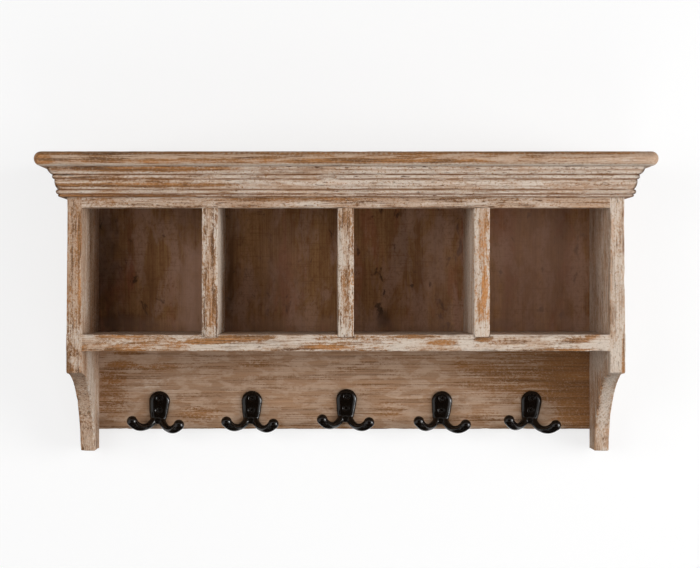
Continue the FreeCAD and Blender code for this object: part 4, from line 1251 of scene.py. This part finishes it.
def sweep_arm(shape, hooks, hand):
    """One arm of a hook in the plate's own frame: rings along two arcs, and the ball at its end."""
    turn = hooks.spread * hand
    heading = Vector((math.sin(turn), -math.cos(turn), 0))
    across = Vector((math.cos(turn), math.sin(turn), 0))
    up = Vector((0, 0, 1))
    root = Vector((hooks.root_side * hand, -hooks.plate_thickness / 2, -hooks.root_drop))
    forward = heading * (hooks.fall * math.sin(hooks.fall_turn))
    fall_centre = root + forward + up * (hooks.fall * math.cos(hooks.fall_turn))
    rise_centre = fall_centre - up * hooks.fall + up * hooks.rise
    parts = 14
    line = []
    for part in range(parts + 1):
        angle = -hooks.fall_turn * (1 - part / parts)
        line.append((fall_centre + (heading * math.sin(angle) - up * math.cos(angle)) * hooks.fall, angle))
    for part in range(1, parts + 1):
        angle = hooks.rise_turn * part / parts
        line.append((rise_centre + (heading * math.sin(angle) - up * math.cos(angle)) * hooks.rise, angle))
    spokes = 24
    rows = []
    for index, (spot, angle) in enumerate(line):
        radius = arm_radius(index / (len(line) - 1))
        normal = up * math.cos(angle) - heading * math.sin(angle)
        ring = []
        for part in range(spokes):
            around = math.tau * part / spokes
            out = across * (radius * math.cos(around)) + normal * (radius * math.sin(around))
            ring.append(shape.verts.new(spot + out))
        rows.append(ring)
    skin_rows(shape, rows)
    end = Matrix.Translation(line[-1][0])
    bmesh.ops.create_uvsphere(shape, u_segments=28, v_segments=18, radius=hooks.ball / 2, matrix=end)


def hook_mesh(hooks):
    """A casting: plate, arms and balls run together as one skin, with seats for two screws."""
    half = hooks.plate_width / 2
    waist = hooks.waist_width / 2
    foot = hooks.foot_width / 2
    corner = 5.0 * MM
    outline_step = 1.2 * MM
    low = -hooks.plate_height
    arc = [math.pi * part / 32 for part in range(33)]
    corners = [(half * math.cos(angle), half * math.sin(angle) - half, 0) for angle in arc]
    corners += [(-waist, -hooks.waist_drop, 2 * corner), (-foot, low, corner)]
    corners += [(foot, low, corner), (waist, -hooks.waist_drop, 2 * corner)]

    # The plate's edge stands square for a share of its thickness and then swells inwards
    front = -hooks.plate_thickness
    square_share, swell_share = 0.35, 0.95
    swell_run = 7.6 * MM
    rings = [(0.0, 0.0), (0.0, square_share * front)]
    for part in range(1, 13):
        angle = math.radians(7.5 * part)
        depth = front * (square_share + swell_share * math.sin(angle))
        rings.append((swell_run * (1 - math.cos(angle)), depth))
    shape = bmesh.new()
    rows = []
    for inset, depth in rings:
        flat = outline_at(corners, inset, outline_step)
        rows.append([shape.verts.new((point.x, depth, point.y)) for point in flat])
    skin_rows(shape, rows)
    for hand in (-1, 1):
        sweep_arm(shape, hooks, hand)

    # A lump of metal where the arms leave the plate: its place, and its half sizes in millimetres
    crotch = Matrix.LocRotScale(Vector((0, -2.8 * MM, -35.0 * MM)), None, Vector((7.6, 3.6, 5.2)))
    bmesh.ops.create_uvsphere(shape, u_segments=24, v_segments=16, radius=MM, matrix=crotch)
    bmesh.ops.recalc_face_normals(shape, faces=shape.faces)
    piece = new_piece("hook_casting", mesh_of("hook_casting", shape))
    skin = piece.modifiers.new("Skin", "REMESH")
    skin.mode = "VOXEL"
    skin.voxel_size = hooks.grain
    smooth = piece.modifiers.new("Fettle", "SMOOTH")
    smooth.factor = 0.5
    smooth.iterations = 12
    solid_copy(piece)

    # The rear is cut flat, and each screw gets a seat with a short slope round it
    seat, seat_slope = 4.0 * MM, 0.7 * MM
    seat_floor = 0.8 * front
    for vertex in piece.data.vertices:
        spot = vertex.co
        spot.y = min(spot.y, 0.0)
        if spot.y > front * 0.5:
            continue
        for drop in SCREW_DROPS:
            away = math.hypot(spot.x, spot.z + drop * MM)
            if away < seat:
                share = min(1.0, (seat - away) / seat_slope)
                spot.y += max(0.0, seat_floor - spot.y) * share
    mesh = piece.data.copy()
    bpy.data.objects.remove(piece)
    return mesh


def hook_matrix(side):
    """Where a hook's plate top lies on the rail, and how it leans."""
    across, up, lean = HOOK_PLACES[side]
    rail_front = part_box("hook_rail")[0].y
    lean_turn = Matrix.Rotation(math.radians(lean), 4, "Y")
    return Matrix.Translation((across * MM, rail_front, up * MM)) @ lean_turn


class WALLSHELF_OT_hooks(bpy.types.Operator):
    """The five cast double hooks"""

    bl_idname = "wallshelf.hooks"
    bl_label = "Coat hooks"

    def execute(self, context):
        hooks = context.scene.wall_shelf.hooks
        pattern = hook_mesh(hooks)
        material = painted_iron("black_painted_cast_iron", "#0C0704", 0.17)
        for side in HOOK_PLACES:
            mesh = pattern.copy()
            mesh.transform(hook_matrix(side))
            mesh.shade_smooth()
            piece = new_piece(f"coat_hook_{side}", mesh)
            place_piece(piece, material, "black_iron", f"hook_{side}")
        bpy.data.meshes.remove(pattern)
        return {"FINISHED"}


def screw_mesh():
    """A countersunk screw, head towards -Y at the origin, with a cross recess."""
    head_radii = (0.35, 0.7, 1.0, 1.3, 1.6, 1.9, 2.2, 2.5, 2.8, 3.1, 3.4, 3.65)
    head_radius = 3.8
    shank = ((head_radius, 0.15), (3.6, 0.6), (1.8, 2.2), (1.8, 10.0), (0.2, 12.6))
    dome_rise = 0.45
    recess_depth = 1.2
    slot_half, slot_slope = 0.75, 0.3
    cross_reach, cross_slope = 2.4, 0.4
    spokes = [math.tau * part / 48 for part in range(48)]
    shape = bmesh.new()
    rows = []
    for radius in head_radii:
        row = []
        for around in spokes:
            x, z = radius * math.cos(around), radius * math.sin(around)
            in_slot = max(0.0, min(1.0, (slot_half - min(abs(x), abs(z))) / slot_slope))
            in_cross = max(0.0, min(1.0, (cross_reach - radius) / cross_slope))
            dome = dome_rise * (1 - (radius / head_radius) ** 2)
            row.append(shape.verts.new((x * MM, (recess_depth * in_slot * in_cross - dome) * MM, z * MM)))
        rows.append(row)
    for radius, depth in shank:
        ring = [(radius * math.cos(around), radius * math.sin(around)) for around in spokes]
        rows.append([shape.verts.new((x * MM, depth * MM, z * MM)) for x, z in ring])
    skin_rows(shape, rows)
    bmesh.ops.recalc_face_normals(shape, faces=shape.faces)
    return mesh_of("hook_screw", shape)


class WALLSHELF_OT_hook_screws(bpy.types.Operator):
    """Two countersunk screws in each hook"""

    bl_idname = "wallshelf.hook_screws"
    bl_label = "Hook screws"

    def execute(self, context):
        hooks = context.scene.wall_shelf.hooks
        pattern = new_piece("hook_screw", screw_mesh())
        spots = []
        turns = []
        sunk = 0.45 * MM
        turn_step = 37
        for side in HOOK_PLACES:
            lean = HOOK_PLACES[side][2]
            for drop in SCREW_DROPS:
                spots.append(hook_matrix(side) @ Vector((0, sunk - hooks.plate_thickness, -drop * MM)))
                turns += (0.0, math.radians(lean + turn_step * len(spots)), 0.0)
        mesh = bpy.data.meshes.new("hook_screw_heads")
        mesh.from_pydata(spots, [], [])
        mesh.attributes.new("turn", "FLOAT_VECTOR", "POINT").data.foreach_set("vector", turns)
        piece = new_piece("hook_screw_heads", mesh)
        material = painted_iron("black_screw_paint", "#120C08", 0.34)
        tree = bpy.data.node_groups.new("screws_at_points", "GeometryNodeTree")
        tree.interface.new_socket("Geometry", in_out="INPUT", socket_type="NodeSocketGeometry")
        tree.interface.new_socket("Geometry", in_out="OUTPUT", socket_type="NodeSocketGeometry")
        given = node(tree, "NodeGroupInput").outputs
        screw = node(tree, "GeometryNodeObjectInfo", {"Object": pattern, "As Instance": True})
        angles = node(tree, "GeometryNodeInputNamedAttribute", {"Name": "turn"}, data_type="FLOAT_VECTOR")
        spun = node(tree, "FunctionNodeEulerToRotation", {0: angles.outputs[0]}).outputs[0]
        placing = {"Points": given[0], "Instance": screw.outputs["Geometry"], "Rotation": spun}
        placed = node(tree, "GeometryNodeInstanceOnPoints", placing).outputs[0]
        real = node(tree, "GeometryNodeRealizeInstances", {"Geometry": placed}).outputs[0]
        final = node(tree, "GeometryNodeSetMaterial", {"Geometry": real, "Material": material}).outputs[0]
        node(tree, "NodeGroupOutput", {0: final})
        piece.modifiers.new("Screws", "NODES").node_group = tree
        solid_copy(piece)
        place_piece(piece, material, "black_screws", "hook_screws")
        bpy.data.objects.remove(pattern)
        return {"FINISHED"}


class WALLSHELF_OT_fixings(bpy.types.Operator):
    """Finishes of the keyhole plates, screws, nails, pins and dowels"""

    bl_idname = "wallshelf.fixings"
    bl_label = "Fixings"

    def execute(self, context):
        zinc = bright_metal("zinc_plated_steel", "#B9B8B2", 0.42)
        steel = bright_metal("bright_drawn_steel", "#A8A59F", 0.38)
        beech = washed_wood("bare_beech", LOOKS["dowels"])
        for side in ("left", "right"):
            dress(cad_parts[f"hanger_plate_{side}"], zinc)
        for name in ("hanger_screws", "back_nails", "rail_nails", "crown_pins", "divider_screws"):
            dress(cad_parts[name], steel)
        for name in ("shelf_dowels", "frieze_dowels", "top_dowels"):
            dress(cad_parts[name], beech)
        return {"FINISHED"}


def sheet_plane(name, material, corner, side, rise):
    """A flat stage sheet from a corner along two edges."""
    start, side, rise = Vector(corner), Vector(side), Vector(rise)
    mesh = bpy.data.meshes.new(name)
    mesh.from_pydata([start, start + side, start + side + rise, start + rise], [], [(0, 1, 2, 3)])
    sheet = new_piece(name, mesh)
    dress(sheet, material)
    return sheet


def seen_directly(tree):
    """One for what the camera or a reflection sees, and nought for the rays that spread light."""
    path = node(tree, "ShaderNodeLightPath").outputs
    seen = path["Is Camera Ray"]
    for kind in ("Is Glossy Ray", "Is Transmission Ray"):
        seen = node(tree, "ShaderNodeMath", {0: seen, 1: path[kind]}, operation="MAXIMUM").outputs[0]
    return seen


def stage_material(name, level, glow):
    """A pale matt stage surface that only the camera and reflections see, and only from its front."""
    made, tree, output = new_material(name)
    behind = node(tree, "ShaderNodeNewGeometry").outputs["Backfacing"]
    front = {0: seen_directly(tree), 1: behind}
    shown = node(tree, "ShaderNodeMath", front, operation="SUBTRACT", use_clamp=True)
    matt = node(tree, "ShaderNodeBsdfDiffuse", {"Color": (level, level, level, 1)})
    light = node(tree, "ShaderNodeEmission", {"Strength": glow})
    both = node(tree, "ShaderNodeAddShader", {0: matt.outputs[0], 1: light.outputs[0]})
    clear = node(tree, "ShaderNodeBsdfTransparent")
    mixed = node(tree, "ShaderNodeMixShader", {0: shown.outputs[0], 1: clear.outputs[0], 2: both.outputs[0]})
    tree.links.new(mixed.outputs[0], output.inputs["Surface"])
    return made


def dark_reflection_material():
    """A near black that only glossy rays meet, which the camera and the light pass through: painted dark
    reflections in the hooks.
    """
    made, tree, output = new_material("dark_reflection_only")
    path = node(tree, "ShaderNodeLightPath").outputs
    reflection_black = node(tree, "ShaderNodeBsdfDiffuse", {"Color": (0.01, 0.01, 0.01, 1)})
    clear = node(tree, "ShaderNodeBsdfTransparent")
    mixed = node(
        tree, "ShaderNodeMixShader", {0: path["Is Glossy Ray"], 1: clear.outputs[0], 2: reflection_black.outputs[0]}
    )
    tree.links.new(mixed.outputs[0], output.inputs["Surface"])
    return made


def lamp(name, place, target, power, width, height, glints=False):
    """A soft box at a place, turned to a target, which glossy things may mirror or not."""
    data = bpy.data.lights.new(name, "AREA")
    data.energy = power
    data.shape = "RECTANGLE"
    data.size = width
    data.size_y = height
    made = bpy.data.objects.new(name, data)
    made.location = place
    made.visible_glossy = glints
    made.rotation_euler = (Vector(target) - Vector(place)).to_track_quat("-Z", "Y").to_euler()
    bpy.context.scene.collection.objects.link(made)


def studio_world(sky):
    """Light from all around, stronger from below, behind a plain white that the camera sees."""
    from_below, from_above = 1.7 * sky, 0.3 * sky
    world = bpy.data.worlds.new("studio")
    world.use_nodes = True
    tree = world.node_tree
    tree.nodes.clear()
    place = node(tree, "ShaderNodeTexCoord").outputs["Generated"]
    height = node(tree, "ShaderNodeSeparateXYZ", {0: place}).outputs["Z"]
    around = node(
        tree,
        "ShaderNodeMapRange",
        {"Value": height, "From Min": -1.0, "To Min": from_below, "To Max": from_above},
    )
    level = node(
        tree,
        "ShaderNodeMapRange",
        {"Value": seen_directly(tree), "To Min": around.outputs[0], "To Max": 1.0},
    )
    light = node(tree, "ShaderNodeBackground", {"Strength": level.outputs[0]})
    node(tree, "ShaderNodeOutputWorld", {"Surface": light.outputs[0]})
    return world


def studio_camera(stage):
    """A level camera that faces the wall."""
    data = bpy.data.cameras.new("camera")
    data.lens = stage.lens
    data.sensor_width = 36.0
    data.shift_x, data.shift_y = (shift / PICTURE_WIDTH for shift in PICTURE_SHIFT)
    camera = bpy.data.objects.new("camera", data)
    camera.location = stage.eye
    camera.rotation_euler = (math.radians(90), 0, 0)
    bpy.context.scene.collection.objects.link(camera)
    return camera


class WALLSHELF_OT_stage(bpy.types.Operator):
    """The wall, the floor, the lamps and the camera"""

    bl_idname = "wallshelf.stage"
    bl_label = "Stage"

    def execute(self, context):
        stage = context.scene.wall_shelf.stage
        white = stage_material("white_wall", 0.3, 0.695)
        pale = stage_material("pale_floor", 0.2, 0.78)
        reflection_black = dark_reflection_material()
        floor_level = -1.2
        behind = 0.002
        wall = sheet_plane("wall", white, (-4, behind, floor_level), (8, 0, 0), (0, 0, 4.2))
        floor = sheet_plane("floor", pale, (-4, -5, floor_level), (8, 0, 0), (0, 8, 0))
        # The card behind the camera, the mat and the apron on the wall show only in reflections: painted dark
        # reflections in the hooks, before the white floor and wall
        card = sheet_plane("dark_card", reflection_black, (-1.5, -2.6, -1.1), (3, 0, 0), (0, 0, 2.3))
        mat = sheet_plane("dark_mat", reflection_black, (-1.5, -2.6, -1.19), (3, 0, 0), (0, 2.58, 0))
        apron = sheet_plane("dark_apron", reflection_black, (-0.6, -0.003, -1.19), (1.2, 0, 0), (0, 0, 0.89))
        middle = (0.0, -0.1, -0.1)
        lamp("right_soft_box", (2.8, -1.4, 0.1), middle, stage.key, 2.0, 1.4, glints=True)
        lamp("right_window", (2.9, -1.25, -0.4), (0.0, -0.1, -0.2), stage.window, 0.4, 1.5, glints=True)
        lamp("front_soft_box", (0.75, -0.95, 0.0), (0.05, -0.1, -0.1), stage.front, 0.5, 0.5)
        lamp("left_soft_box", (-0.9, -1.7, 0.15), middle, stage.fill, 0.9, 0.9)
        lamp("left_window", (-2.2, -1.2, 0.0), middle, stage.side, 1.0, 1.0)
        lamp("floor_bounce", (0.2, -1.2, -1.1), middle, stage.bounce, 0.8, 0.8)
        lamp("rear_soft_box", (0.3, 1.9, 1.3), (0.0, 0.0, -0.1), stage.rear, 1.6, 1.2)
        context.scene.world = studio_world(stage.sky)
        context.scene.camera = studio_camera(stage)
        context.scene.view_settings.view_transform = "Standard"
        return {"FINISHED"}


OPERATORS = (
    WALLSHELF_OT_top_board,
    WALLSHELF_OT_side_boards,
    WALLSHELF_OT_dividers,
    WALLSHELF_OT_cross_boards,
    WALLSHELF_OT_back_boards,
    WALLSHELF_OT_crown,
    WALLSHELF_OT_hooks,
    WALLSHELF_OT_hook_screws,
    WALLSHELF_OT_fixings,
    WALLSHELF_OT_stage,
)


class WALLSHELF_PT_parts(bpy.types.Panel):
    """Lists the shelf's parts"""

    bl_idname = "WALLSHELF_PT_parts"
    bl_label = "Wall shelf"
    bl_space_type = "VIEW_3D"
    bl_region_type = "UI"
    bl_category = "Wall Shelf"

    def draw(self, context):
        for operator in OPERATORS:
            self.layout.operator(operator.bl_idname)


SETTINGS = (BoardSettings, CrownSettings, HookSettings, FinishSettings, StageSettings, ShelfSettings)


def register():
    for item in (*SETTINGS, *OPERATORS, WALLSHELF_PT_parts):
        bpy.utils.register_class(item)
    bpy.types.Scene.wall_shelf = PointerProperty(type=ShelfSettings)


def unregister():
    del bpy.types.Scene.wall_shelf
    for item in reversed((*SETTINGS, *OPERATORS, WALLSHELF_PT_parts)):
        bpy.utils.unregister_class(item)


def main():
    register()
    for operator in OPERATORS:
        group, name = operator.bl_idname.split(".")
        getattr(getattr(bpy.ops, group), name)()


if __name__ == "__main__":
    main()
